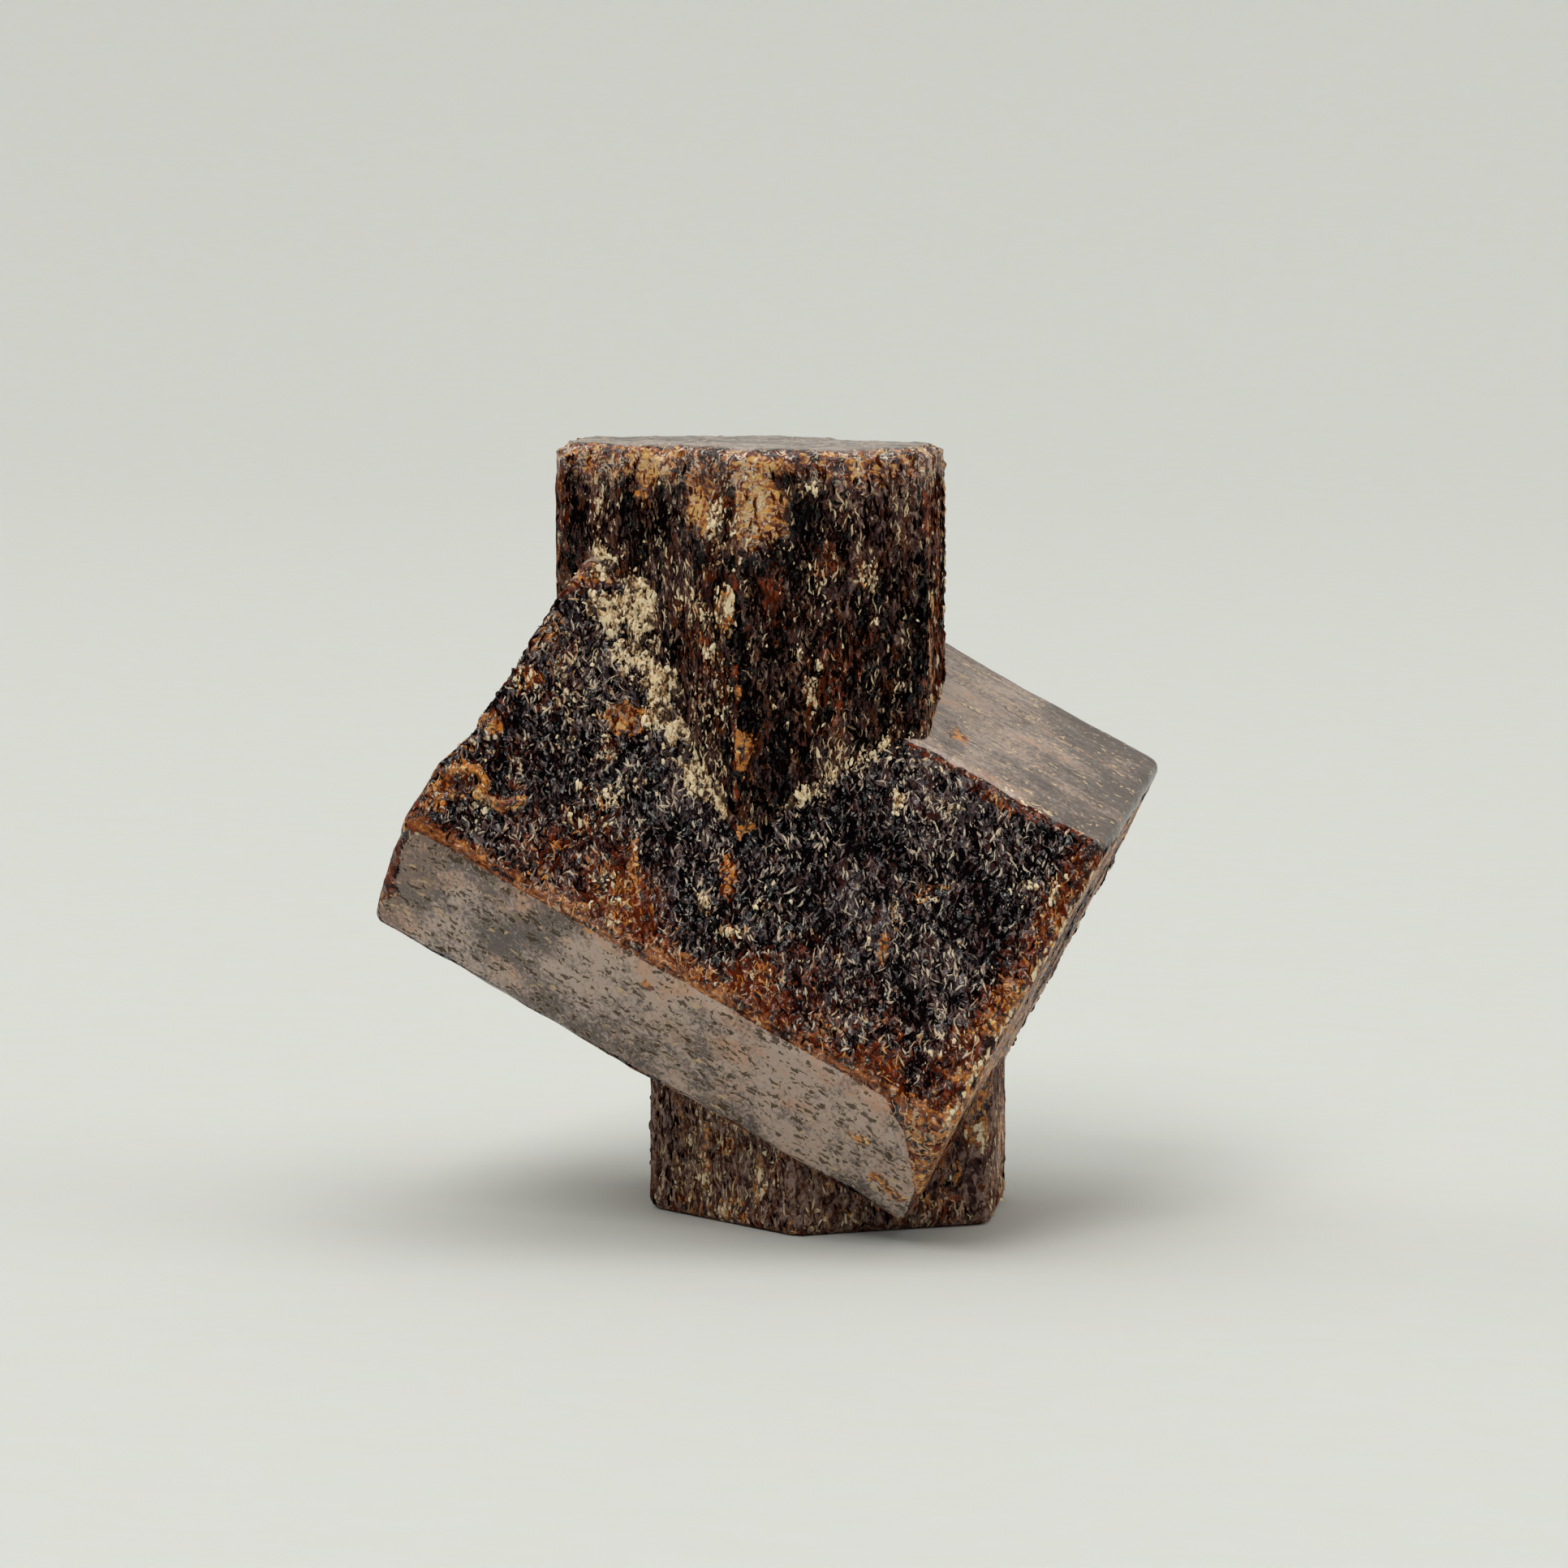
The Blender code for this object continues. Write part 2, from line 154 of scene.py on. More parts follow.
# Inclined crystal: a stubby six-sided staurolite prism that leans from upper left to lower right.
# It grew through the upright one. Its front face is rough and nearly black, the others are smoother,
# and its edges and ends are worn and stained orange. Distances are in millimetres, turns in degrees.
M_TO_M = 50.7
M_TO_B = (180.0 - M_TO_M) / 2
INCLINED_STEPS = (M_TO_M, M_TO_B, M_TO_B, M_TO_M, M_TO_B)
INCLINED_LEAN, INCLINED_SWING, INCLINED_FIRST_TURN = 62.4, 182.1, 29.13
FRONT, UPPER, UPPER_BACK, BACK, UNDER, LOWER_FRONT = range(6)
START_END, FAR_END = 6, 7
INCLINED_AXIS_AT = (-1.37, -0.09, 12.00)
INCLINED_FACES = (5.63, 6.06, 8.60, 5.73, 6.14, 8.68)
INCLINED_SPAN = (-10.85, 8.05)
RIGHT_END_FALL_TO_BACK, RIGHT_END_FRONT_AT = 0.066, 5.4
LEFT_END_STEP, LEFT_END_STEP_FROM, LEFT_END_STEP_TO = 0.42, -4.6, -3.2
INCLINED_WEAR = 0.42
INCLINED_CELLS = (0.095, 0.12, 0.17, 0.17, 0.15, 0.115)
INCLINED_STATIONS = ((-10.85, 0.105), (8.05, 0.105))
END_CELL = 0.15
# Of these stains, "dark" is painted shade in deep hollows, "sheen" lays the smooth faces' pale colours,
# which are partly a painted reflection, "wet" also carries thin painted glints, and "tone" also carries
# painted light on the smooth faces and the lower arm.
STAINS = ("tone", "cream", "gold", "rust", "dark", "wet", "sheen", "pitted", "blush", "band")
CORNER_BENDS = 4
RIM_BENDS = 5
SWELL_HIGH, SWELL_SIZE, SWELL_FROM = 0.070, 3.4, (3.1, 7.7, 1.9)
GRAIN_HIGH, GRAIN_SIZE, GRAIN_FROM = 0.050, 1.3, (9.4, 2.2, 5.6)
FLAT_FOOT = 0.75
FAR_OFF = 9.0
MARK_REACH, MARK_STAIN_REACH, MARK_UNEVEN = 1.25, 1.9, 0.30
RIDGE_WIDE, RIDGE_HIGH, RIDGE_REACH, RIDGE_STAIN_REACH, RIDGE_UNEVEN = 0.17, 0.20, 1.6, 2.2, 0.25


def unit(vector):
    vector = np.asarray(vector, float)
    return vector / np.linalg.norm(vector)


class Crystal:
    """Where a crystal's axis and its six side faces lie."""

    def __init__(self, lean, swing, first_turn, steps, axis_at, distances):
        lean, swing = math.radians(lean), math.radians(swing)
        level = math.sin(lean)
        self.axis = np.array([level * math.cos(swing), level * math.sin(swing), math.cos(lean)])
        self.across = unit(np.cross([0, 0, 1], self.axis)) if level > 0 else np.array([1.0, 0.0, 0.0])
        self.over = np.cross(self.axis, self.across)
        turns = np.radians(first_turn + np.concatenate([[0.0], np.cumsum(steps)]))
        self.directions = np.stack([np.cos(turns), np.sin(turns)], axis=1)
        self.at = np.array(axis_at)
        self.distances = np.array(distances)

    def place(self, flat, height):
        level = np.outer(flat[:, 0], self.across) + np.outer(flat[:, 1], self.over)
        return self.at + level + np.outer(height, self.axis)

    def normal(self, face):
        return self.across * self.directions[face][0] + self.over * self.directions[face][1]

    def sideways(self, face):
        return np.cross(self.axis, self.normal(face))

    def corners(self, inset=0.0):
        found = []
        for i in range(6):
            pair = self.directions[[i, (i + 1) % 6]]
            found.append(np.linalg.solve(pair, self.distances[[i, (i + 1) % 6]] - inset))
        return np.array(found)

    def outline(self, inset, wear, counts):
        """Points round the cross-section with its corners worn round, and the face that each belongs to."""
        corners = self.corners(inset)
        points, faces = [], []
        for i in range(6):
            start, end, following = corners[i - 1], corners[i], corners[(i + 1) % 6]
            cut = min(wear, 0.3 * np.linalg.norm(end - start))
            next_cut = min(wear, 0.3 * np.linalg.norm(following - end))
            worn_start = start + unit(end - start) * cut
            worn_end = end - unit(end - start) * cut
            worn_next = end + unit(following - end) * next_cut
            for k in range(counts[i] + 1):
                points.append(worn_start + (worn_end - worn_start) * k / counts[i])
                faces.append(i)
            for k in range(1, CORNER_BENDS + 1):
                t = k / (CORNER_BENDS + 1)
                points.append((1 - t) ** 2 * worn_end + 2 * t * (1 - t) * end + t * t * worn_next)
                faces.append(i if t < 0.5 else (i + 1) % 6)
        return np.array(points), np.array(faces)


def stations(plan, start, end):
    """Distances from start to end whose spacing follows the plan of (place, spacing)."""
    places, spacings = zip(*plan)
    found = [start]
    while found[-1] < end:
        found.append(found[-1] + np.interp(found[-1], places, spacings))
    found = np.array(found)
    return start + (found - start) * (end - start) / (found[-1] - start)


def fill_end(rim, cell):
    """Triangles that fill the end inside its rim: the rim's points and a hexagonal grid, and the faces."""
    low, high = rim.min(axis=0), rim.max(axis=0)
    rows = []
    for r, y in enumerate(np.arange(low[1], high[1], cell * math.sqrt(0.75))):
        xs = np.arange(low[0] + 0.5 * cell * (r % 2), high[0], cell)
        rows.append(np.stack([xs, np.full(len(xs), y)], axis=1))
    grid = np.concatenate(rows)
    gap = np.full(len(grid), 9e9)
    for start, end in zip(rim, np.roll(rim, -1, axis=0)):
        outward = unit((end - start)[[1, 0]] * (1, -1))
        gap = np.minimum(gap, (start - grid) @ outward)
    grid = grid[gap > 0.6 * cell]
    flat = [Vector(p) for p in np.concatenate([rim, grid])]
    points, _, faces, *_ = geometry.delaunay_2d_cdt(flat, [], [list(range(len(rim)))], 1, 1e-7)
    return np.array([tuple(p) for p in points]), faces


def grow(crystal, span, wear, cells, plan, start_shift, end_shift):
    """Points, faces and each point's face number for one closed prism with worn edges, in millimetres."""
    corners = crystal.corners()
    sides = [np.linalg.norm(corners[i] - corners[i - 1]) - 2 * wear for i in range(6)]
    counts = [max(2, round(side / cell)) for side, cell in zip(sides, cells)]
    length = span[1] - span[0]
    bends = np.linspace(0.0, math.pi / 2, RIM_BENDS + 1)
    rim = [(wear * (1 - math.cos(b)), wear * (1 - math.sin(b))) for b in bends]
    middle = [(s - span[0], 0.0) for s in stations(plan, span[0] + wear, span[1] - wear)[1:-1]]
    rings = rim + middle + [(length - along, inset) for along, inset in reversed(rim)]
    points, owners, faces = [], [], []
    for along, inset in rings:
        flat, owner = crystal.outline(inset, wear, counts)
        low, high = span[0] + start_shift(flat), span[1] + end_shift(flat)
        points.append(crystal.place(flat, low + (high - low) * along / length))
        owners.append(owner)
    around = len(owners[0])
    for r in range(len(rings) - 1):
        for k in range(around):
            following = (k + 1) % around
            here, above = r * around, (r + 1) * around
            faces.append((here + k, here + following, above + following, above + k))
    total = around * len(rings)
    for first, turned, end in ((0, True, START_END), (total - around, False, FAR_END)):
        flat, _ = crystal.outline(wear, wear, counts)
        filled, cap = fill_end(flat, END_CELL)
        inner = filled[around:]
        height = span[0] + start_shift(inner) if turned else span[1] + end_shift(inner)
        points.append(crystal.place(inner, height))
        owners.append(np.full(len(inner), end))
        for face in cap:
            face = [first + i if i < around else total + i - around for i in face]
            faces.append(tuple(reversed(face)) if turned else tuple(face))
        total += len(inner)
    return np.concatenate(points), faces, np.concatenate(owners)


def lattice(cells, seed):
    """A repeatable random number from 0 to 1 for each whole-numbered cell."""
    mixed = cells[:, 0] * 374761393 + cells[:, 1] * 668265263 + cells[:, 2] * 1440662683 + seed * 974711
    mixed &= 0xFFFFFFFF
    mixed = ((mixed ^ (mixed >> 13)) * 1274126177) & 0xFFFFFFFF
    return (mixed ^ (mixed >> 16)) / 2.0**32


def ripple(points, size, seed):
    """Smooth unevenness from -1 to 1 whose lumps are about one size across."""
    scaled = points / size
    cells = np.floor(scaled).astype(np.int64)
    share = scaled - cells
    share = share * share * (3 - 2 * share)
    total = np.zeros(len(points))
    for corner in itertools.product((0, 1), repeat=3):
        weight = np.prod(np.where(corner, share, 1 - share), axis=1)
        total += weight * lattice(cells + corner, seed)
    return 2 * total - 1


def layered(points, size, seed, layers=3):
    """Ripples laid over each other, each half the size and height of the one before, from -1 to 1."""
    total = sum(ripple(points, np.array(size) * 0.5**k, seed + k) * 0.5**k for k in range(layers))
    return total / (2 - 0.5 ** (layers - 1))


def platelets(points, size, seed):
    """Height from -1 to 1 of small tilted plates that lie edge to edge, as on a broken or etched face."""
    scaled = points / size
    cells = np.floor(scaled).astype(np.int64)
    nearest = np.full(len(points), 99.0)
    height = np.zeros(len(points))
    for step in itertools.product((-1, 0, 1), repeat=3):
        cell = cells + step
        rolls = np.stack([lattice(cell, seed + k) for k in range(3)], axis=1)
        gap = scaled - cell - rolls
        distance = (gap * gap).sum(axis=1)
        closer = distance < nearest
        tilt = ((1.0 - 2.0 * rolls[:, ::-1]) * gap).sum(axis=1)
        raised = 2.0 * lattice(cell, seed + 7) - 1.0
        height = np.where(closer, 0.5 * raised + 0.9 * tilt, height)
        nearest = np.where(closer, distance, nearest)
    return height


def held(amount):
    """An amount held between nought and one."""
    return np.clip(amount, 0.0, 1.0)


def fade(distance, reach):
    """One at the start of a distance, falling smoothly to nought at its reach."""
    share = held(1.0 - distance / reach)
    return share * share * (3 - 2 * share)


class Surface:
    """A crystal's points with their places on its faces, where its marks and its relief are added up."""

    def __init__(self, crystal, points, faces, owners, span):
        self.crystal, self.points, self.faces, self.owners = crystal, points, faces, owners
        local = points - crystal.at
        self.along = local @ crystal.axis
        self.own = np.stack([local @ crystal.across, local @ crystal.over, self.along], axis=1)
        normals = np.stack([crystal.normal(i) for i in range(6)])
        self.depth = crystal.distances - local @ normals.T
        ordered = np.sort(self.depth, axis=1)
        to_end = np.minimum(self.along - span[0], span[1] - self.along)
        to_side = np.minimum(ordered[:, 1], np.abs(to_end))
        self.edge = np.clip(np.where(owners < START_END, to_side, ordered[:, 0]), 0.0, None)
        self.rise = np.zeros(len(points))
        self.stains = {name: np.zeros(len(points)) for name in STAINS}

    def across(self, face):
        return (self.points - self.crystal.at) @ self.crystal.sideways(face)

    def stain(self, name, amount):
        """More of a stain wherever the amount is larger than what is there."""
        self.stains[name] = np.maximum(self.stains[name], amount)

    def mark(self, face, along, across, long, wide, turn, rise, stain, strength):
        """A pit, lump or stain of an uneven oval outline on one face."""
        on = self.owners == face
        one, two = self.along[on] - along, self.across(face)[on] - across
        turn = math.radians(turn)
        u = (one * math.cos(turn) + two * math.sin(turn)) / long
        v = (two * math.cos(turn) - one * math.sin(turn)) / wide
        size = 0.35 * min(long, wide) + 0.12
        reach = np.hypot(u, v) + MARK_UNEVEN * ripple(self.points[on], size, 91)
        self.rise[on] += rise * fade(reach, MARK_REACH)
        for name in stain.split():
            stained = strength * fade(reach, MARK_STAIN_REACH)
            self.stains[name][on] = np.maximum(self.stains[name][on], stained)


def add_relief(surface, roughness):
    """The slow swell and the grain that the solid has too, with nought near the foot."""
    for k, point in enumerate(surface.points):
        place = Vector(point)
        swell = SWELL_HIGH * noise.noise(place / SWELL_SIZE + Vector(SWELL_FROM))
        grain = GRAIN_HIGH * roughness * noise.noise(place / GRAIN_SIZE + Vector(GRAIN_FROM))
        surface.rise[k] += (swell + grain) * min(1.0, max(0.0, point[2] / FLAT_FOOT - 1.0))


def within_solid(points):
    """Points kept inside the solid's box."""
    return np.clip(points, np.array(cad_box[0]) / MM, np.array(cad_box[1]) / MM)


def add_values(mesh, name, amounts):
    """A number for each point of a mesh, for its finish to read."""
    layer = mesh.attributes.new(name, "FLOAT", "POINT")
    layer.data.foreach_set("value", amounts.astype(np.float32))


def add_piece(name, mesh, finish):
    """A piece of the one stone, with its finish."""
    mesh.update()
    piece = bpy.data.objects.new(name, mesh)
    bpy.context.scene.collection.objects.link(piece)
    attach(piece, "root")
    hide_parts("staurolite_cross")
    mesh.materials.append(finish)


def make_prism(name, surface, finish):
    """The piece of a surface, moved along its normals by its relief."""
    mesh = bpy.data.meshes.new(name)
    mesh.from_pydata(surface.points * MM, [], surface.faces)
    mesh.update()
    normals = np.empty(len(surface.points) * 3, np.float32)
    mesh.vertices.foreach_get("normal", normals)
    surface.shown_normals = normals.reshape(-1, 3)
    surface.shown = within_solid(surface.points + surface.shown_normals * surface.rise[:, None])
    mesh.vertices.foreach_set("co", (surface.shown * MM).astype(np.float32).ravel())
    for stain, amount in surface.stains.items():
        add_values(mesh, stain, held(amount))
    mesh.polygons.foreach_set("use_smooth", [True] * len(mesh.polygons))
    add_piece(name, mesh, finish)


inclined = Crystal(
    INCLINED_LEAN, INCLINED_SWING, INCLINED_FIRST_TURN, INCLINED_STEPS, INCLINED_AXIS_AT, INCLINED_FACES
)


def right_end_fall(flat):
    """The right end is cut back towards the rear, so that it is seen nearly edge on."""
    rearward = inclined.place(flat, np.zeros(len(flat)))[:, 1] + RIGHT_END_FRONT_AT
    return RIGHT_END_FALL_TO_BACK * rearward


def left_end_step(flat):
    """The upper part of the left end is broken back by a step."""
    over = (inclined.place(flat, np.zeros(len(flat))) - inclined.at) @ inclined.sideways(FRONT)
    share = (over - LEFT_END_STEP_FROM) / (LEFT_END_STEP_TO - LEFT_END_STEP_FROM)
    return -LEFT_END_STEP * held(share)


def add_marks(surface, marks):
    """Marks listed by face: along, across, length, width, turn, rise, stains and their strength."""
    for face, rows in marks.items():
        for row in rows:
            surface.mark(face, *row)


def add_ridge(surface, face, path, wide, rise, stain):
    """A low crest that follows a path of (along, across) points on a face."""
    on = surface.owners == face
    here = np.stack([surface.along[on], surface.across(face)[on]], axis=1)
    nearest = np.full(len(here), FAR_OFF)
    for start, end in zip(np.array(path[:-1]), np.array(path[1:])):
        line = end - start
        share = held((here - start) @ line / (line @ line))
        nearest = np.minimum(nearest, np.linalg.norm(here - start - share[:, None] * line, axis=1))
    reach = nearest / wide * (1.0 + RIDGE_UNEVEN * ripple(surface.points[on], 0.35, 17))
    surface.rise[on] += rise * fade(reach, RIDGE_REACH)
    stained = fade(reach, RIDGE_STAIN_REACH)
    surface.stains[stain][on] = np.maximum(surface.stains[stain][on], stained)


def add_after(kind, sources, **settings):
    """A shader node in the same tree as the sockets among its sources."""
    tree = next(source.id_data for source in sources.values() if isinstance(source, bpy.types.NodeSocket))
    return add_node(tree, kind, sources, **settings)


def compute(operation, *values):
    return add_after("ShaderNodeMath", dict(enumerate(values)), operation=operation).outputs[0]


def ease(value, low, high):
    """Nought below low, one above high, and smooth between; high may lie below low."""
    sources = {"Value": value, "From Min": low, "From Max": high}
    return add_after("ShaderNodeMapRange", sources, interpolation_type="SMOOTHSTEP").outputs[0]


def lay_over(share, under, over):
    """One colour laid over another by a share of it."""
    return add_after("ShaderNodeMix", {0: share, 6: under, 7: over}, data_type="RGBA").outputs[2]


def blend(value, low, high, under, over):
    """One colour laid over another where a value rises from low to high."""
    return lay_over(ease(value, low, high), under, over)


def times(one, two):
    return compute("MULTIPLY", one, two)


def larger(one, two):
    return compute("MAXIMUM", one, two)


def colour(red, green, blue):
    return (red, green, blue, 1.0)


def compute_vector(operation, *vectors):
    return add_after("ShaderNodeVectorMath", dict(enumerate(vectors)), operation=operation).outputs


def feed(shader, **sources):
    """The shader's inputs linked to sockets; Base_Color stands for the input named Base Color."""
    for name, source in sources.items():
        source.id_data.links.new(source, shader.inputs[name.replace("_", " ")])


def stretch(place, x, y, z):
    sources = {"Vector": place, "Scale": (1 / x, 1 / y, 1 / z)}
    return add_after("ShaderNodeMapping", sources, vector_type="POINT").outputs[0]


def cells_of(place):
    """Random cells: distance from the middle, three random numbers of the cell, and a tilt across it."""
    made = add_after("ShaderNodeTexVoronoi", {"Vector": place, "Scale": 1.0, "Randomness": 1.0})
    rolls = add_after("ShaderNodeSeparateColor", {"Color": made.outputs["Color"]}).outputs
    centred = compute_vector("SUBTRACT", made.outputs["Color"], (0.5,) * 3)[0]
    gap = compute_vector("SUBTRACT", place, made.outputs["Position"])[0]
    tilt = compute_vector("DOT_PRODUCT", centred, gap)["Value"]
    return made.outputs["Distance"], rolls, tilt


def cloud(place, detail=1.0, roughness=0.7):
    """Three kinds of fine unevenness about nought, from -0.5 to 0.5."""
    sources = {"Vector": place, "Scale": 1.0, "Detail": detail, "Roughness": roughness}
    made = add_after("ShaderNodeTexNoise", sources)
    parts = add_after("ShaderNodeSeparateColor", {"Color": made.outputs["Color"]}).outputs
    return [compute("SUBTRACT", part, 0.5) for part in parts]


def plus(value, *parts):
    """A value plus each part, which is a value and its share."""
    for more, share in parts:
        value = compute("MULTIPLY_ADD", more, share, value)
    return value


STONE_IOR = 1.74
WAVES_PER_MM = 3.2


def start_finish(name, settings):
    """A new finish with these settings, and with it its tree, its shader and the place in millimetres."""
    finish = bpy.data.materials.new(name)
    finish.use_nodes = True
    tree = finish.node_tree
    shader = tree.nodes["Principled BSDF"]
    for setting, value in settings.items():
        shader.inputs[setting].default_value = value
    sources = {0: add_node(tree, "ShaderNodeTexCoord").outputs["Object"], "Scale": 1 / MM}
    place = add_after("ShaderNodeVectorMath", sources, operation="SCALE").outputs[0]
    return finish, tree, shader, place


def stone_finish(name, own_turn, looks):
    """Staurolite: a dark felt of platy slivers with cream crumbs in it, stained orange where it is worn."""
    settings = {"IOR": STONE_IOR, "Specular IOR Level": 0.0, "Coat IOR": STONE_IOR, "Coat Roughness": 0.20}
    stone, tree, shader, place = start_finish(name, settings)
    sources = {"Vector": place, "Scale": WAVES_PER_MM, "Detail": 1.0}
    warp = add_after("ShaderNodeTexNoise", sources).outputs["Color"]
    waved = compute_vector("MULTIPLY_ADD", warp, (looks["waviness"],) * 3, place)[0]
    sources = {"Vector": waved, "Rotation": own_turn}
    own = add_after("ShaderNodeVectorRotate", sources, rotation_type="EULER_XYZ").outputs[0]
    stain = {s: add_node(tree, "ShaderNodeAttribute", attribute_name=s).outputs["Fac"] for s in STAINS}
    fine = cloud(stretch(waved, 0.13, 0.13, 0.17))
    patch = cloud(stretch(waved, *looks["patch_size"]), 2.0)
    streak = cloud(stretch(own, 0.13, 0.13, 1.7))

    # Platy slivers, upright in the stone whichever way its crystal leans, with thin pale lines painted along
    # their edges and in curls, which stand for glints: painted highlights
    plates = stretch(waved, *looks["plate_size"])
    _, plate, plate_tilt = cells_of(plates)
    sources = {"Vector": plates, "Scale": 1.0, "Randomness": 1.0}
    plate_edge = add_after("ShaderNodeTexVoronoi", sources, feature="DISTANCE_TO_EDGE").outputs[0]
    chip_gap, chip, chip_tilt = cells_of(stretch(waved, *looks["chip_size"]))
    curl = compute("ABSOLUTE", fine[2])
    # Each plate's tilt, which also slopes it in the bump, lightens its raised side here and below: painted
    # shading across the plates, over the stone's own uneven tone
    tone = plus(stain["tone"], (plate[0], 0.60), (plate_tilt, 0.5), (chip[0], 0.30), (fine[0], 0.7))
    body = blend(plus(plate[1], (patch[2], 1.5)), 0.45, 0.65, looks["body"], looks["body_two"])
    base = blend(tone, 0.72, 1.02, looks["darkest"], body)
    paleness = plus(chip[1], (fine[1], 1.6), (plate_tilt, 0.5))
    pale_stone = blend(paleness, 0.10, 0.90, body, looks["body_pale"])
    base = blend(tone, 1.00, 1.50, base, pale_stone)
    shown = plus(chip[2], (fine[1], 1.3), (patch[1], 1.5), (stain["tone"], 0.5))
    line = times(ease(plate_edge, 0.085, 0.030), ease(shown, 0.84, 1.08))
    shown = plus(plate[2], (fine[1], 1.3), (patch[0], 1.5), (stain["tone"], 0.5))
    # Thin curled lines, more painted glints
    small_painted_glint = times(ease(curl, 0.022, 0.008), ease(shown, 0.92, 1.15))
    line = larger(line, times(small_painted_glint, 0.7))
    line = times(line, looks["line_share"])
    # Broken, glossy places ("wet"): thin white lines along small ledges are painted glints, painted
    # highlights
    ledge = cloud(stretch(waved, 0.30, 0.30, 0.15))
    ledge_edge = compute("ABSOLUTE", ledge[1])
    shown = plus(plate[2], (fine[1], 1.4), (patch[1], 2.0))
    painted_ledge_glint = times(ease(ledge_edge, 0.056, 0.020), ease(shown, 0.42, 0.68))
    line = larger(line, times(painted_ledge_glint, stain["wet"]))

    # Stains of iron: brown red in patches, then orange gold where the stone is worn through
    rust_share = ease(plus(stain["rust"], (patch[0], 1.6), (fine[0], 0.5)), 0.42, 0.62)
    rust_tone = plus(chip[0], (plate_tilt, 0.8))
    rust = blend(rust_tone, 0.25, 0.95, looks["rust_dark"], looks["rust"])
    base = lay_over(times(rust_share, 0.90), base, rust)
    gold_share = ease(plus(stain["gold"], (patch[1], 1.5), (fine[2], 0.5)), 0.47, 0.57)
    worn = plus(0.22, (chip[1], 0.22), (plate[0], 0.28), (ledge[2], 1.6))
    worn = plus(worn, (plate_tilt, 0.5), (fine[0], 0.5))
    gold = blend(worn, 0.18, 0.66, looks["gold_dark"], looks["gold"])
    bright = plus(0.5, (ledge[1], 2.2), (chip[2], 0.25), (fine[1], 0.6))
    gold = blend(bright, 0.82, 1.08, gold, looks["gold_pale"])
    gold = blend(plus(chip_gap, (fine[2], 0.6)), 0.58, 0.76, gold, looks["rust_dark"])
    base = lay_over(gold_share, base, gold)
    band_tone = plus(0.42, (streak[0], 1.7), (patch[0], 1.4), (fine[0], 0.5))
    band = blend(band_tone, 0.12, 0.55, looks["rust_dark"], looks["band"])
    band = blend(band_tone, 0.52, 0.80, band, looks["band_pale"])
    base = blend(plus(stain["band"], (fine[1], 0.7), (patch[1], 0.5)), 0.35, 0.65, base, band)
    broken = plus(0.47, (ledge[0], 2.4), (patch[0], 1.4), (fine[0], 0.5), (stain["gold"], 0.55))
    facet = blend(broken, 0.45, 0.70, looks["rust_dark"], looks["rust"])
    facet = blend(broken, 0.70, 0.92, facet, looks["gold"])
    facet = blend(broken, 0.86, 1.08, facet, looks["gold_pale"])
    base = lay_over(times(ease(stain["wet"], 0.2, 0.7), 0.75), base, facet)
    # Colour of the painted glint lines: warmer in the iron stains, near white where broken and glossy
    warm_line = ease(plus(rust_share, (stain["wet"], 1.0)), 0.0, 0.9)
    line_colour = lay_over(warm_line, looks["line"], looks["line_warm"])
    line_colour = lay_over(times(stain["wet"], 0.6), line_colour, looks["painted_glint_white"])
    base = lay_over(line, base, line_colour)

    # Smooth faces: plain brown lightened to grey as a painted reflection of the pale floor and backdrop,
    # under their real gloss, with pinkish patches and small dark pits along the crystal
    streaked = plus(1.0, (stain["pitted"], -0.85))
    along = [times(part, streaked) for part in streak]
    blushing = plus(stain["blush"], (patch[1], 1.2), (fine[1], 1.1), (along[1], 1.5))
    blush_share = ease(blushing, 0.30, 1.25)
    spotty = plus(0.0, (fine[0], 1.4), (patch[0], 0.7), (along[0], 1.6))
    spotty = times(spotty, plus(0.35, (stain["pitted"], 0.65)))
    plain_share = ease(plus(stain["tone"], (spotty, 1.25)), 0.08, 1.00)
    plain = lay_over(plain_share, looks["plain"], looks["plain_painted_sheen"])
    spotted = plus(stain["tone"], (spotty, 1.4))
    mottled = blend(spotted, 0.0, 0.8, looks["blush_dark"], looks["blush"])
    plain = lay_over(blush_share, plain, mottled)
    gloss_and_painted_sheen = ease(plus(stain["sheen"], (patch[0], 0.3), (fine[0], 0.3)), 0.42, 0.58)
    dashes = plus(along[2], (fine[2], 0.7), (patch[2], 0.8), (stain["pitted"], -0.06))
    plain = blend(dashes, 0.17, 0.23, plain, looks["fleck"])
    base = lay_over(gloss_and_painted_sheen, base, plain)
    base = lay_over(times(gold_share, gloss_and_painted_sheen), base, gold)
    # The pits are painted dark, as painted shade in them, with pale rims, and a few are cream flecks
    pit, pit_roll, _ = cells_of(stretch(own, *looks["pit_size"]))
    pitted = times(gloss_and_painted_sheen, stain["pitted"])
    pit_depth = plus(pit, (pit_roll[0], -0.46), (fine[1], 1.4), (patch[1], 0.9), (patch[0], 0.5))
    pit_share = times(ease(pit_depth, 0.08, -0.02), pitted)
    rim_share = times(ease(pit_depth, 0.20, 0.13), times(pitted, 0.30))
    base = lay_over(rim_share, base, looks["fleck"])
    pit_colour = blend(pit_roll[1], 0.90, 0.94, looks["pit"], looks["fleck"])
    base = lay_over(times(pit_share, 0.8), base, pit_colour)

    # Cream crumbs drawn out along the grain, close together where the crust lies
    crumb, crumb_roll, crumb_tilt = cells_of(stretch(waved, *looks["crumb_size"]))
    thickness = plus(looks["crumb_share"], (stain["cream"], 0.75), (crumb_roll[0], 0.50))
    thickness = plus(thickness, (fine[1], 0.9), (patch[2], 0.9), (gloss_and_painted_sheen, -0.25))
    level = compute("SUBTRACT", thickness, crumb)
    pale = ease(level, 0.0, 0.09)
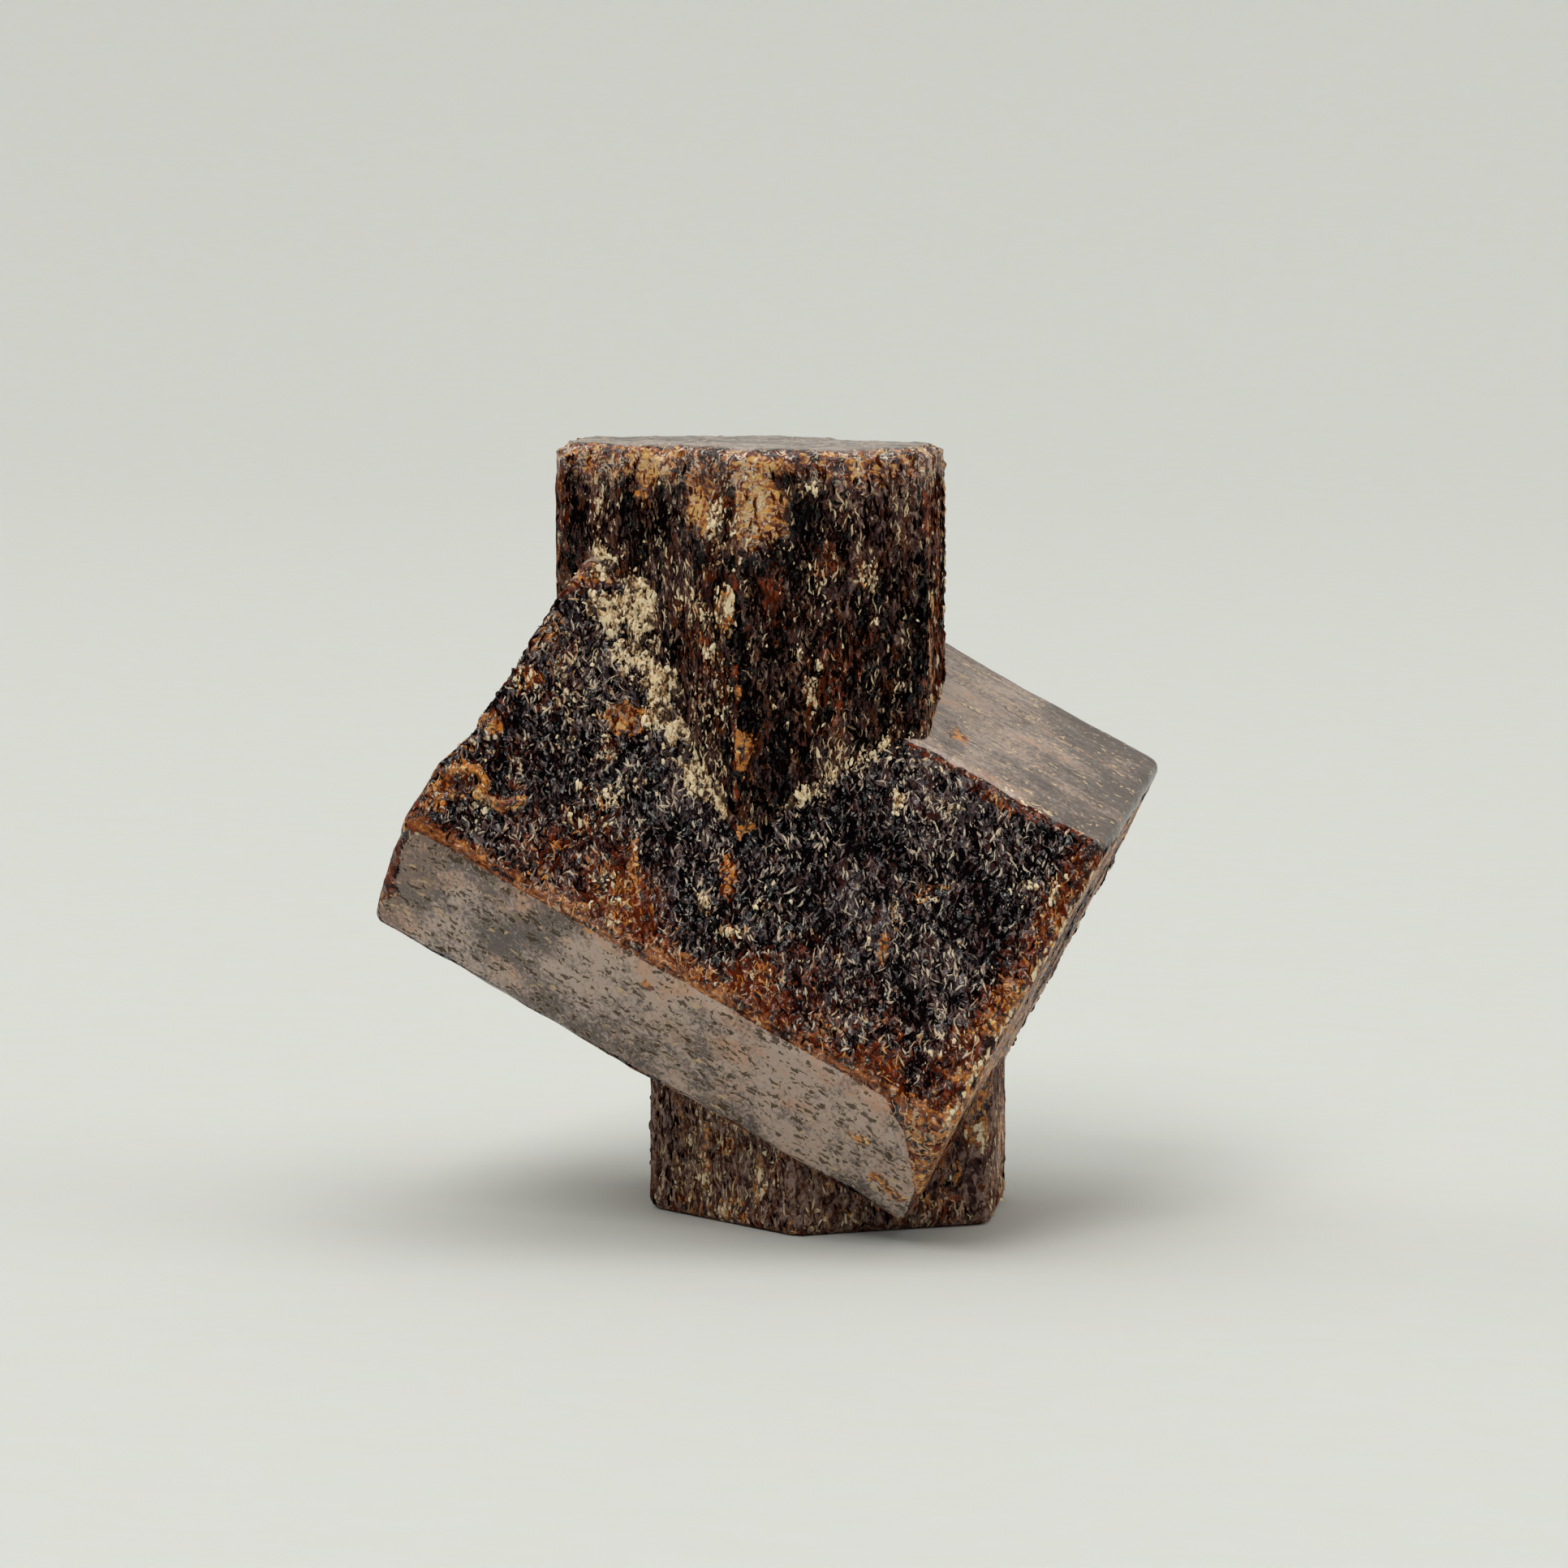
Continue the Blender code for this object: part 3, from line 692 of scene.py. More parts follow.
    # Each crumb is tan at its rim and lighter on one side: partly its own colour, partly painted shading of
    # a small lump
    creaminess = plus(level, (crumb_roll[1], 0.35), (crumb_tilt, 0.5), (fine[2], 0.7))
    cream = blend(creaminess, 0.02, 0.50, looks["tan"], looks["cream"])
    base = lay_over(pale, base, cream)
    # Painted shade: nearly black in the deep hollows marked "dark"
    painted_hollow_shade = plus(stain["dark"], (patch[0], 0.8), (fine[1], 0.8))
    base = blend(painted_hollow_shade, 0.45, 0.65, base, looks["darkest"])

    # Gloss: a coat where the stone is smooth, worn or freshly broken, and none on the cream and in the pits
    smoother = looks["smooth_gloss"] - looks["gloss"]
    rough = plus(looks["gloss"], (pale, 0.3), (gloss_and_painted_sheen, smoother), (fine[0], 0.3))
    glassy = times(ease(chip[1], 0.55, 0.85), looks["glint"])
    stained = plus(gold_share, (rust_share, 0.6))
    glassy = larger(glassy, times(ease(stained, 0.3, 1.2), 0.6))
    glassy = larger(glassy, stain["wet"])
    glassy = larger(glassy, times(gloss_and_painted_sheen, 0.95))
    glassy = times(glassy, plus(1.0, (pale, -0.8)))
    glassy = times(glassy, plus(1.0, (pit_share, -0.8)))
    still = plus(1.0, (stain["sheen"], -0.95))
    height = plus(plate_tilt, (chip_tilt, 0.4), (fine[0], 0.9))
    height = plus(times(height, still), (fine[0], 0.05))
    sources = {"Height": height, "Distance": looks["bump"] * MM, "Strength": 1.0}
    bump = add_after("ShaderNodeBump", sources).outputs["Normal"]
    feed(shader, Base_Color=base, Roughness=rough, Coat_Weight=glassy, Normal=bump, Coat_Normal=bump)
    return stone


grown = grow(
    inclined, INCLINED_SPAN, INCLINED_WEAR, INCLINED_CELLS, INCLINED_STATIONS, right_end_fall, left_end_step
)
slant = Surface(inclined, *grown, INCLINED_SPAN)
add_relief(slant, 1.0)

UP_IN_PHOTO, LEVEL_IN_PHOTO = 62, -28
FRONT_MARKS = {
    FRONT: (
        (3.79, -0.64, 0.66, 0.58, 0, -0.16, "gold", 1.0),
        (3.85, -1.75, 0.55, 0.35, 40, 0.03, "cream", 0.9),
        (2.88, -3.81, 0.62, 0.55, 0, -0.18, "cream", 0.75),
        (7.13, -1.09, 0.75, 0.35, LEVEL_IN_PHOTO, 0.06, "cream", 0.9),
        (7.25, -2.79, 0.42, 0.42, 0, 0.06, "gold", 0.9),
        (7.34, -5.54, 0.55, 0.90, 0, 0.03, "gold", 0.75),
        (1.21, -4.63, 1.10, 0.32, UP_IN_PHOTO, 0.04, "gold", 0.75),
        (1.75, -5.33, 0.55, 0.22, LEVEL_IN_PHOTO, 0.05, "cream", 0.95),
        (1.08, -5.74, 0.20, 0.18, 0, 0.05, "cream", 1.0),
        (-1.23, -4.37, 0.32, 0.20, UP_IN_PHOTO, 0.05, "cream", 1.0),
        (-2.68, -3.65, 0.24, 0.24, 0, 0.06, "cream", 1.0),
        (-1.42, -3.46, 0.85, 0.30, UP_IN_PHOTO, 0.05, "gold", 0.75),
        (-2.33, -4.86, 0.48, 0.15, -40, 0.12, "cream", 1.0),
        # This pit's "dark" stain is painted shade in a deep hollow
        (-2.53, -5.35, 0.50, 0.32, LEVEL_IN_PHOTO, -0.24, "dark", 1.0),
        (-6.61, -0.67, 0.62, 0.40, LEVEL_IN_PHOTO, -0.22, "gold", 0.62),
        (-6.78, -0.98, 0.50, 0.13, LEVEL_IN_PHOTO, 0.05, "cream", 1.0),
        (-6.20, -1.75, 0.62, 0.14, UP_IN_PHOTO, 0.12, "cream", 1.0),
        (-6.53, -3.01, 0.60, 0.26, UP_IN_PHOTO, 0.03, "gold", 0.80),
        (-9.11, 0.87, 0.38, 0.24, LEVEL_IN_PHOTO, 0.05, "cream", 0.7),
        (-10.00, 1.11, 0.52, 0.16, UP_IN_PHOTO, 0.08, "cream", 1.0),
        (-10.40, 0.40, 0.50, 0.34, UP_IN_PHOTO, 0.0, "rust", 1.0),
        (-10.46, -2.15, 0.62, 0.50, LEVEL_IN_PHOTO, 0.05, "gold", 1.0),
        (-9.48, -3.84, 0.42, 0.26, -10, 0.08, "", 1.0),
        (-8.20, -6.08, 0.95, 0.62, 0, -0.06, "rust", 1.0),
        (-9.99, -6.46, 1.50, 1.30, 0, 0.02, "gold", 0.52),
        (-4.63, 2.87, 0.80, 0.16, 0, 0.02, "cream", 0.9),
        (-7.10, 2.87, 1.10, 0.22, 0, 0.02, "rust", 1.0),
        (-5.99, 1.97, 0.34, 0.30, 0, 0.04, "cream", 0.7),
        (1.60, -6.66, 1.70, 0.34, 2, 0.05, "gold", 0.80),
        (-4.57, 1.20, 0.50, 0.18, UP_IN_PHOTO, 0.06, "cream", 1.0),
    ),
}
RIDGE_PATH = ((7.63, -4.93), (6.83, -4.28), (6.39, -4.58), (6.40, -4.98), (5.54, -4.95), (5.17, -4.49))
SIDE_MARKS = {
    LOWER_FRONT: (
        (-4.07, 0.47, 0.95, 0.62, 10, 0.0, "blush", 1.0),
        (-6.40, -0.25, 0.90, 0.35, -10, 0.0, "blush", 0.9),
        (-0.86, 1.17, 0.26, 0.18, 0, 0.03, "gold", 0.80),
        (-8.68, -0.08, 0.42, 0.30, -20, 0.08, "gold", 0.90),
        (-9.94, -1.56, 0.75, 0.36, 20, -0.08, "gold", 0.75),
        (-2.10, 2.30, 0.80, 0.40, 0, 0.0, "blush", 0.9),
        (3.40, -1.30, 0.90, 0.40, 20, 0.0, "blush", 0.8),
    ),
    UPPER: (
        (-4.81, -0.17, 0.45, 0.50, 0, 0.05, "gold", 0.8),
        (-4.40, 1.60, 0.40, 0.90, 0, 0.03, "cream", 0.7),
    ),
}
add_marks(slant, FRONT_MARKS)
add_marks(slant, SIDE_MARKS)
add_ridge(slant, FRONT, RIDGE_PATH, RIDGE_WIDE, RIDGE_HIGH, "gold")

front, on_end = slant.owners == FRONT, slant.owners >= START_END
low_front, on_upper = slant.owners == LOWER_FRONT, slant.owners == UPPER
smooth = np.isin(slant.owners, (UPPER, UPPER_BACK, UNDER))
left_end, right_end = INCLINED_SPAN[1] - slant.along, slant.along - INCLINED_SPAN[0]
from_front = slant.depth[:, FRONT]
lower_edge = np.where(front, slant.depth[:, LOWER_FRONT], FAR_OFF)
under_edge = np.where(low_front, slant.depth[:, UNDER], FAR_OFF)
uneven = ripple(slant.points, 0.9, 31)
clouds = layered(slant.points, 1.8, 33)

# Relief: tilted plates, grain and slow waves on the rough faces, lines along the smooth ones, nicked edges
PLATES_HIGH, GRAINS_HIGH, WAVES_HIGH, LINES_HIGH = 0.050, 0.026, 0.030, 0.012
SMOOTHEST, END_ROUGHNESS, BACK_ROUGHNESS = 0.12, 0.45, 0.55
NICK_DEEP, NICK_REACH, ROUGH_FROM, BELOW_SOLID = 0.16, 0.38, 0.30, 0.035
inwards = held(slant.edge / ROUGH_FROM)
above_band = np.clip(slant.depth[:, LOWER_FRONT] / 0.7, 0.15, 1.0)
rough = np.where(front, inwards * above_band, np.where(on_end, END_ROUGHNESS * inwards, 0.0))
rough = SMOOTHEST + (1.0 - SMOOTHEST) * rough
rough = np.where(slant.owners == BACK, np.maximum(rough, SMOOTHEST + BACK_ROUGHNESS * inwards), rough)
slant.rise += rough * (
    PLATES_HIGH * platelets(slant.points, (0.34, 0.34, 0.62), 5)
    + GRAINS_HIGH * ripple(slant.points, (0.20, 0.20, 0.36), 6)
    + WAVES_HIGH * uneven
)
slant.rise += (1.0 - rough) * LINES_HIGH * ripple(slant.own, (0.16, 0.16, 2.2), 8)
nick = held(ripple(slant.points, 0.75, 12) - 0.15) + 0.25
slant.rise -= NICK_DEEP * nick * fade(slant.edge, NICK_REACH) * (1.0 - 0.75 * fade(right_end, 1.0))
slant.rise -= BELOW_SOLID

# Rough front: iron stains that come in from its edges. Each row says which stain, from where, how far it
# reaches, how strong it is on the front and how strong on the other faces.
slant.stains["tone"] = 0.35 + 0.50 * clouds + np.where(front, 0.0, 0.1) + np.where(smooth, -0.02, 0.0)
warm = 0.5 + 1.1 * layered(slant.points, 2.6, 36)
worn = held(0.52 + 0.9 * layered(slant.own, (0.8, 0.8, 2.2), 48))
for name, distance, reach, strength, elsewhere in (
    ("rust", lower_edge, 5.2, 0.85 * warm + 0.08, 0.0),
    ("rust", lower_edge, 1.1, 1.0, 0.0),
    ("rust", left_end, 5.2, 0.85 * warm + 0.15, 0.0),
    ("rust", right_end, 2.4, 0.85, 0.0),
    ("gold", lower_edge, 2.4, 0.38 + 0.6 * clouds, 0.0),
    ("gold", lower_edge - 0.1, 0.9, worn, 0.0),
    ("gold", left_end, 3.4, 0.42 + 0.5 * clouds, 0.2),
    ("gold", right_end, 2.0, 0.50 + 0.5 * clouds, 0.2),
    ("rust", slant.edge, 0.42, 0.80, 0.80),
    ("gold", slant.edge, 0.30, 0.40 + 0.4 * clouds, 0.40 + 0.4 * clouds),
):
    slant.stain(name, np.where(front, strength, elsewhere) * fade(distance, reach))
slant.stains["band"] = np.where(front, fade(lower_edge, 0.95), 0.0)
crumbly = np.where(front, 0.02 + 0.9 * layered(slant.points, 1.1, 38), 0.0)
slant.stain("cream", crumbly * np.clip((slant.along + 5.0) / 7.0, 0.55, 1.0))
pale_edge = fade(np.abs(right_end - 0.10), 0.16) * held(12.2 - slant.points[:, 2])
slant.stain("cream", np.where(front, 1.5 * pale_edge, 0.0))
slant.stain("gold", np.where(on_end, 0.56 + 0.5 * clouds + 0.50 * fade(from_front, 2.6), 0.0))
slant.stain("rust", np.where(on_end, 0.75 + 0.8 * clouds + 0.25 * fade(from_front, 3.0), 0.0))

# Smooth lower front face: its gloss ends in a curve at the right and a ragged line at the left
CURVE_ACROSS, CURVE_ALONG = (-4.8, -1.18, 1.17, 2.23, 4.8), (-11.3, -11.0, -9.9, -8.8, -7.6)
GLOSS_ENDS_AT, SHINE_AT, PIT_DEEP = 7.95, (2.2, -0.39), 0.07
curve = np.interp(slant.across(LOWER_FRONT), CURVE_ACROSS, CURVE_ALONG)
glossy = held((slant.along - curve) / 0.25)
glossy = glossy * held((GLOSS_ENDS_AT + 0.5 * uneven + 0.3 * clouds - slant.along) / 0.7)
low_gloss = held(slant.edge / 0.10 - 0.6) * held(under_edge / 0.22 - 0.5 + 0.6 * uneven)
plain_gloss = held(slant.edge / 0.12 - 0.6 + 0.9 * uneven) * held(right_end / 0.5) * held(left_end / 0.5)
# Sheen: where the smooth faces get their gloss and their pale plain colours, which are partly a painted
# reflection
slant.stains["sheen"] = np.where(low_front, glossy * low_gloss, np.where(smooth, plain_gloss, 0.0))
slant.stains["pitted"] = np.where(low_front, 1.0, 0.12)
slant.rise -= np.where(low_front, PIT_DEEP * held(ripple(slant.own, (0.22, 0.22, 0.40), 47) - 0.35), 0.0)
# Tone of the smooth lower face, which sets how light its painted reflection is: it rises towards the right
# end, is darker towards the lower edge, and a painted highlight lies round SHINE_AT
clouded = 0.08 + 0.85 * layered(slant.points, 2.0, 46) + 0.35 * layered(slant.points, 0.6, 49)
clouded = np.where(low_front, clouded - 0.027 * slant.along, 0.0) - 0.55 * fade(under_edge, 0.9)
from_shine = np.hypot((slant.along - SHINE_AT[0]) / 1.3, (slant.across(LOWER_FRONT) - SHINE_AT[1]) / 0.9)
slant.stains["tone"] += clouded + np.where(low_front, 0.55 * fade(from_shine, 1.2), 0.0)
pinkish = 0.66 + 1.1 * layered(slant.points, 1.0, 45)
slant.stain("blush", np.where(low_front, pinkish, 0.0) * fade(from_front, 2.4))
slant.stain("blush", np.where(low_front, 0.85, 0.0) * held((slant.along - 4.6) / 2.6 + 0.4 * uneven))
slant.stain("blush", np.where(low_front, 0.26, 0.0) + 0.6 * held(clouds))
bare = low_front & (glossy < 0.5)
slant.stain("rust", np.where(bare, 0.95, 0.0))
slant.stain("gold", np.where(bare, 0.50 + 0.5 * clouds, 0.0))
slant.stains["tone"] += np.where(bare, 0.25, 0.0) + np.where(on_end, 0.12, 0.0)

# Other smooth faces: streaks along the crystal, and on the upper one cream flecks near the upright crystal
JUNCTION_ALONG, JUNCTION_REACH = -4.2, 4.2
streaks = ripple(slant.own, (0.45, 0.45, 3.5), 41)
fine_streaks = ripple(slant.own, (0.20, 0.20, 2.2), 42)
near_junction = fade(np.abs(slant.along - JUNCTION_ALONG), JUNCTION_REACH)
painted_shade_far_edge = fade(slant.depth[:, UPPER_BACK], 1.0) + 0.6 * fade(right_end, 2.6)
slant.stains["tone"] += np.where(smooth, 0.07 * fine_streaks + 0.12 * streaks, 0.0)
# Painted light on the upper face: lighter near the upright crystal, and painted shade towards its back edge
# and right end
slant.stains["tone"] += np.where(on_upper, 0.26 * near_junction - 0.10 - 0.30 * painted_shade_far_edge, 0.0)
slant.stain("blush", np.where(smooth, 0.14 + 0.60 * streaks + 0.20 * fine_streaks, 0.0))
flecks = ripple(slant.own, (0.14, 0.14, 0.8), 43) + 0.9 * ripple(slant.own, (0.55, 0.55, 1.4), 44) - 0.55
slant.stain("cream", np.where(on_upper, 3.2 * flecks * (0.35 + near_junction), 0.0))

SLANT_LOOKS = {
    "darkest": colour(0.0011, 0.0009, 0.0011), "body": colour(0.036, 0.025, 0.029),
    "body_two": colour(0.050, 0.016, 0.012), "body_pale": colour(0.150, 0.120, 0.120),
    "line": colour(0.52, 0.47, 0.45), "line_warm": colour(0.86, 0.62, 0.40),
    "painted_glint_white": colour(0.98, 0.90, 0.78), "gold_pale": colour(0.90, 0.54, 0.16),
    "rust": colour(0.260, 0.042, 0.009), "rust_dark": colour(0.020, 0.005, 0.003),
    "gold": colour(0.68, 0.235, 0.022), "gold_dark": colour(0.19, 0.036, 0.004),
    "band": colour(0.30, 0.082, 0.020), "band_pale": colour(0.60, 0.24, 0.060),
    "plain": colour(0.086, 0.058, 0.048), "plain_painted_sheen": colour(0.530, 0.395, 0.325),
    "blush": colour(0.60, 0.320, 0.190), "blush_dark": colour(0.220, 0.122, 0.082),
    "pit": colour(0.034, 0.020, 0.015), "fleck": colour(0.66, 0.47, 0.26),
    "tan": colour(0.22, 0.110, 0.030), "cream": colour(0.94, 0.78, 0.52),
    "plate_size": (0.27, 0.27, 0.58), "chip_size": (0.13, 0.13, 0.30), "patch_size": (0.55, 0.55, 0.80),
    "pit_size": (0.15, 0.15, 0.46), "crumb_size": (0.17, 0.17, 0.30), "crumb_share": -0.40,
    "line_share": 0.60, "waviness": 0.32, "gloss": 0.60, "smooth_gloss": 0.35, "bump": 0.12, "glint": 0.8,
}
own_turn = Matrix([list(row) for row in (inclined.across, inclined.over, inclined.axis)]).to_euler("XYZ")
make_prism("inclined_crystal", slant, stone_finish("inclined_stone", tuple(own_turn), SLANT_LOOKS))

# Upright crystal: the prism that stands on its flat lower end, with its two arms a little out of line.
# Its faces are purplish brown with upright lines and cream crumbs, and its top rim is broken and glossy.
UPRIGHT_STEPS = (M_TO_B, M_TO_B, M_TO_M, M_TO_B, M_TO_B)
UPRIGHT_FIRST_TURN = -121.2
FRONT_LEFT, FRONT_RIGHT, RIGHT, BACK_RIGHT, BACK_LEFT, LEFT = range(6)
UPPER_AXIS_AT, LOWER_AXIS_AT = (-1.37, 0.70, 0.0), (0.15, 1.92, 0.0)
UPPER_FACES = (5.14, 6.50, 5.98, 4.80, 5.80, 5.85)
LOWER_FACES = (5.17, 6.54, 6.22, 4.46, 5.44, 4.62)
UPPER_SPAN, LOWER_SPAN = (12.4, 23.76), (0.0, 12.9)
UPPER_FOOT_RISE_TO_BACK, TOP_FALL_TO_BACK = 0.21, 0.032
UPRIGHT_WEAR = 0.36
UPRIGHT_CELLS = (0.10, 0.10, 0.12, 0.15, 0.15, 0.12)
ARM_LINES_HIGH, ARM_PLATES_HIGH, ARM_WAVES_HIGH = 0.022, 0.020, 0.025
ARM_NICK_DEEP, ARM_BELOW_SOLID = 0.17, 0.03
CHIP_PLATES_HIGH, CHIP_DEEP = 0.10, 0.09
UPPER_STATIONS = ((12.4, 0.12), (23.76, 0.105))
LOWER_STATIONS = ((0.0, 0.12), (6.5, 0.14), (8.5, 0.6), (12.9, 0.6))
upper_arm = Crystal(0.0, 0.0, UPRIGHT_FIRST_TURN, UPRIGHT_STEPS, UPPER_AXIS_AT, UPPER_FACES)
lower_arm = Crystal(0.0, 0.0, UPRIGHT_FIRST_TURN, UPRIGHT_STEPS, LOWER_AXIS_AT, LOWER_FACES)
UPPER_MARKS = {
    FRONT_LEFT: (
        (23.00, 0.84, 0.95, 0.52, 0, -0.12, "gold", 1.0),
        (21.80, 4.07, 1.10, 0.60, 0, -0.08, "cream", 0.80),
        (22.80, 3.70, 0.95, 0.95, 0, -0.14, "rust", 0.9),
        (21.90, -1.33, 0.36, 0.20, 0, 0.04, "cream", 1.0),
        (19.28, 4.45, 0.70, 0.46, 0, 0.06, "cream gold", 1.0),
        (18.87, 3.42, 0.28, 0.30, 0, 0.05, "cream", 1.0),
        (18.19, 4.24, 0.75, 0.50, 0, 0.07, "", 1.0),
        (23.60, -2.21, 0.25, 0.45, 0, 0.03, "gold", 0.9),
        (22.09, -3.01, 1.60, 0.35, 0, 0.0, "rust", 0.95),
        (20.07, -0.93, 0.75, 0.80, 0, 0.10, "cream", 0.80),
        (19.00, -0.60, 0.90, 0.60, 0, 0.06, "cream", 0.62),
        (22.30, 3.10, 1.30, 0.75, 0, -0.12, "gold wet", 0.75),
    ),
    FRONT_RIGHT: (
        (22.20, -1.96, 1.35, 1.05, 0, -0.15, "gold wet", 0.90),
        (21.40, -2.20, 0.75, 0.75, 0, -0.06, "cream", 0.50),
        (22.67, -0.15, 0.32, 0.36, 0, 0.14, "cream", 0.80),
        # This hollow's "dark" stain is painted shade in it
        (21.71, -0.46, 0.80, 0.45, 0, -0.16, "dark", 1.0),
        (16.57, -2.52, 0.28, 0.25, 0, 0.03, "gold", 1.00),
        (14.84, -2.32, 0.78, 0.46, 0, 0.04, "gold", 1.00),
        (20.50, 0.31, 0.60, 0.45, 0, 0.0, "rust", 0.75),
        (20.01, 1.59, 0.56, 0.44, 0, 0.04, "cream", 1.0),
        (17.20, 0.10, 0.34, 0.20, 0, 0.04, "cream", 1.0),
        (16.47, -0.02, 0.60, 0.38, 0, 0.05, "cream", 1.0),
        (17.85, -0.61, 0.16, 0.12, 0, 0.05, "cream", 1.0),
        (19.48, -1.38, 0.95, 0.40, 0, 0.0, "rust", 0.9),
        (23.45, -2.39, 0.20, 0.26, 0, 0.0, "gold", 1.0),
        (23.40, 1.25, 0.18, 0.24, 0, 0.0, "gold", 1.0),
        (12.30, -2.32, 0.45, 0.45, 0, 0.0, "gold", 0.85),
        (23.30, 3.20, 0.50, 0.60, 0, -0.20, "rust", 0.8),
    ),
    RIGHT: (
        (17.94, -3.10, 2.20, 0.60, 0, 0.0, "gold", 0.80),
        (15.75, -2.65, 0.40, 0.30, 0, 0.03, "cream", 0.9),
        (22.60, -2.90, 1.00, 0.60, 0, 0.0, "rust", 0.8),
    ),
}
LOWER_MARKS = {
    FRONT_LEFT: (
        (1.63, 0.88, 0.72, 0.30, 0, 0.04, "cream gold", 0.95),
        (2.81, 0.99, 0.42, 0.20, 0, 0.03, "gold", 0.95),
        (2.43, 1.76, 0.40, 0.40, 0, 0.05, "cream gold", 0.80),
        (1.66, 3.31, 0.70, 0.26, 0, 0.03, "cream gold", 0.90),
        (0.50, -0.04, 0.40, 0.60, 0, 0.02, "gold", 0.62),
        (0.27, 2.55, 0.22, 0.26, 0, 0.0, "rust", 1.0),
        (0.33, 1.53, 0.25, 0.50, 0, 0.03, "cream gold", 0.85),
    ),
    FRONT_RIGHT: (
        (2.82, 3.31, 0.50, 0.40, 0, 0.05, "cream gold", 0.90),
        (0.57, 2.22, 0.40, 1.00, 0, 0.0, "rust", 0.8),
        (0.52, -0.76, 0.30, 0.40, 0, 0.03, "cream", 0.75),
        (1.83, 2.66, 0.50, 0.20, 0, 0.0, "gold", 0.6),
    ),
}


def level(flat):
    return np.zeros(len(flat))


def top_fall(flat):
    return -TOP_FALL_TO_BACK * flat[:, 1]


def foot_rise(flat):
    return UPPER_FOOT_RISE_TO_BACK * flat[:, 1]


ARM_LOOKS = dict(
    SLANT_LOOKS,
    darkest=colour(0.0014, 0.0008, 0.0008), body=colour(0.044, 0.018, 0.018),
    body_two=colour(0.090, 0.025, 0.010), body_pale=colour(0.350, 0.230, 0.190),
    line=colour(0.30, 0.185, 0.115), line_share=0.80, crumb_size=(0.17, 0.17, 0.36), crumb_share=-0.34,
    plate_size=(0.22, 0.22, 0.62), chip_size=(0.11, 0.11, 0.28), patch_size=(0.55, 0.55, 0.95),
    waviness=0.30, gloss=0.75, bump=0.10, glint=0.3,
)
arm_stone = stone_finish("upright_stone", (0.0, 0.0, 0.0), ARM_LOOKS)
arms = []
for name, crystal, span, plan, foot, top, marks in (
    ("upper_arm", upper_arm, UPPER_SPAN, UPPER_STATIONS, foot_rise, top_fall, UPPER_MARKS),
    ("lower_arm", lower_arm, LOWER_SPAN, LOWER_STATIONS, level, level, LOWER_MARKS),
):
    arm = Surface(crystal, *grow(crystal, span, UPRIGHT_WEAR, UPRIGHT_CELLS, plan, foot, top), span)
    add_relief(arm, 0.6)
    add_marks(arm, marks)
    sided = arm.owners < START_END
    above_foot = held((arm.points[:, 2] - 0.1) / 0.8)
    from_top = UPPER_SPAN[1] - arm.along if name == "upper_arm" else np.full(len(arm.along), FAR_OFF)
    uneven = ripple(arm.points, 0.9, 51)
    clouds = layered(arm.points, (1.3, 1.3, 2.4), 60)
    chipped = fade(from_top, 1.7 + 0.9 * clouds) * np.where(sided, 1.0, 0.25)
    nick = held(ripple(arm.points, 0.7, 55) - 0.1) + 0.2
    arm.rise += above_foot * np.where(sided, 1.0, 0.5) * (
        ARM_LINES_HIGH * ripple(arm.points, (0.24, 0.24, 2.4), 52)
        + ARM_PLATES_HIGH * platelets(arm.points, (0.26, 0.26, 0.70), 53)
        + ARM_WAVES_HIGH * uneven
    )
    arm.rise -= above_foot * ARM_NICK_DEEP * nick * fade(arm.edge, NICK_REACH)
    arm.rise += chipped * (CHIP_PLATES_HIGH * platelets(arm.points, (0.42, 0.42, 0.30), 57) - CHIP_DEEP)
    arm.rise -= ARM_BELOW_SOLID * above_foot

    arm.stains["tone"] = 0.36 + 0.55 * clouds + 0.25 * layered(arm.points, (0.30, 0.30, 4.0), 64)
    # The lower arm's tone is raised far, which makes it pale: partly its own paler colour, partly painted
    # light from below
    if name == "lower_arm":
        arm.stains["tone"] += 1.02 + 1.0 * clouds
        arm.stain("gold", 0.20 + 0.9 * layered(arm.points, (0.55, 0.55, 1.5), 90))
    crumbly = -0.03 + 1.15 * layered(arm.points, (1.2, 1.2, 1.9), 70)
    arm.stain("cream", np.where(arm.owners == FRONT_RIGHT, 0.50, 1.05) * crumbly)
    arm.stain("rust", 0.10 + 0.75 * held(layered(arm.points, (0.9, 0.9, 2.2), 67)))
    arm.stain("rust", np.where(arm.owners == RIGHT, 0.52 + 0.7 * clouds, 0.0))
    arm.stain("rust", 0.60 * fade(arm.edge, 0.30))
    arm.stain("rust", 0.55 * fade(arm.points[:, 2], 1.0))
    arm.stain("rust", 0.85 * chipped)
    arm.stain("wet", 0.95 * chipped)
    rim_gold = np.where(arm.owners == FRONT_RIGHT, 0.16, 0.36) + 0.75 * clouds
    arm.stain("gold", np.where(sided, rim_gold, 0.0) * fade(from_top, 1.5))
    arm.stain("gold", np.where(arm.owners == RIGHT, 0.12 + 0.6 * clouds, 0.0))
    arm.stain("blush", np.where(sided, 0.0, 0.3 + 0.3 * uneven))
    # The end faces take the smooth faces' colours: the top's pale grey is partly a painted reflection
    arm.stains["sheen"] = np.where(sided, 0.0, held(arm.edge / 0.3 - 0.6) * 0.9)
    make_prism(name, arm, arm_stone)
    arms.append(arm)
upper, lower = arms

# Cream crust and crumbs: small lumps of a pale mineral, packed along the line where the two crystals meet
# and scattered over their rough faces. Each is one small lumpy grain sunk halfway into the stone.
CRUST_GRAINS, CRUMB_GRAINS = 2900, 2800
CRUST_SIZES, CRUMB_SIZES = (0.07, 0.24), (0.045, 0.150)
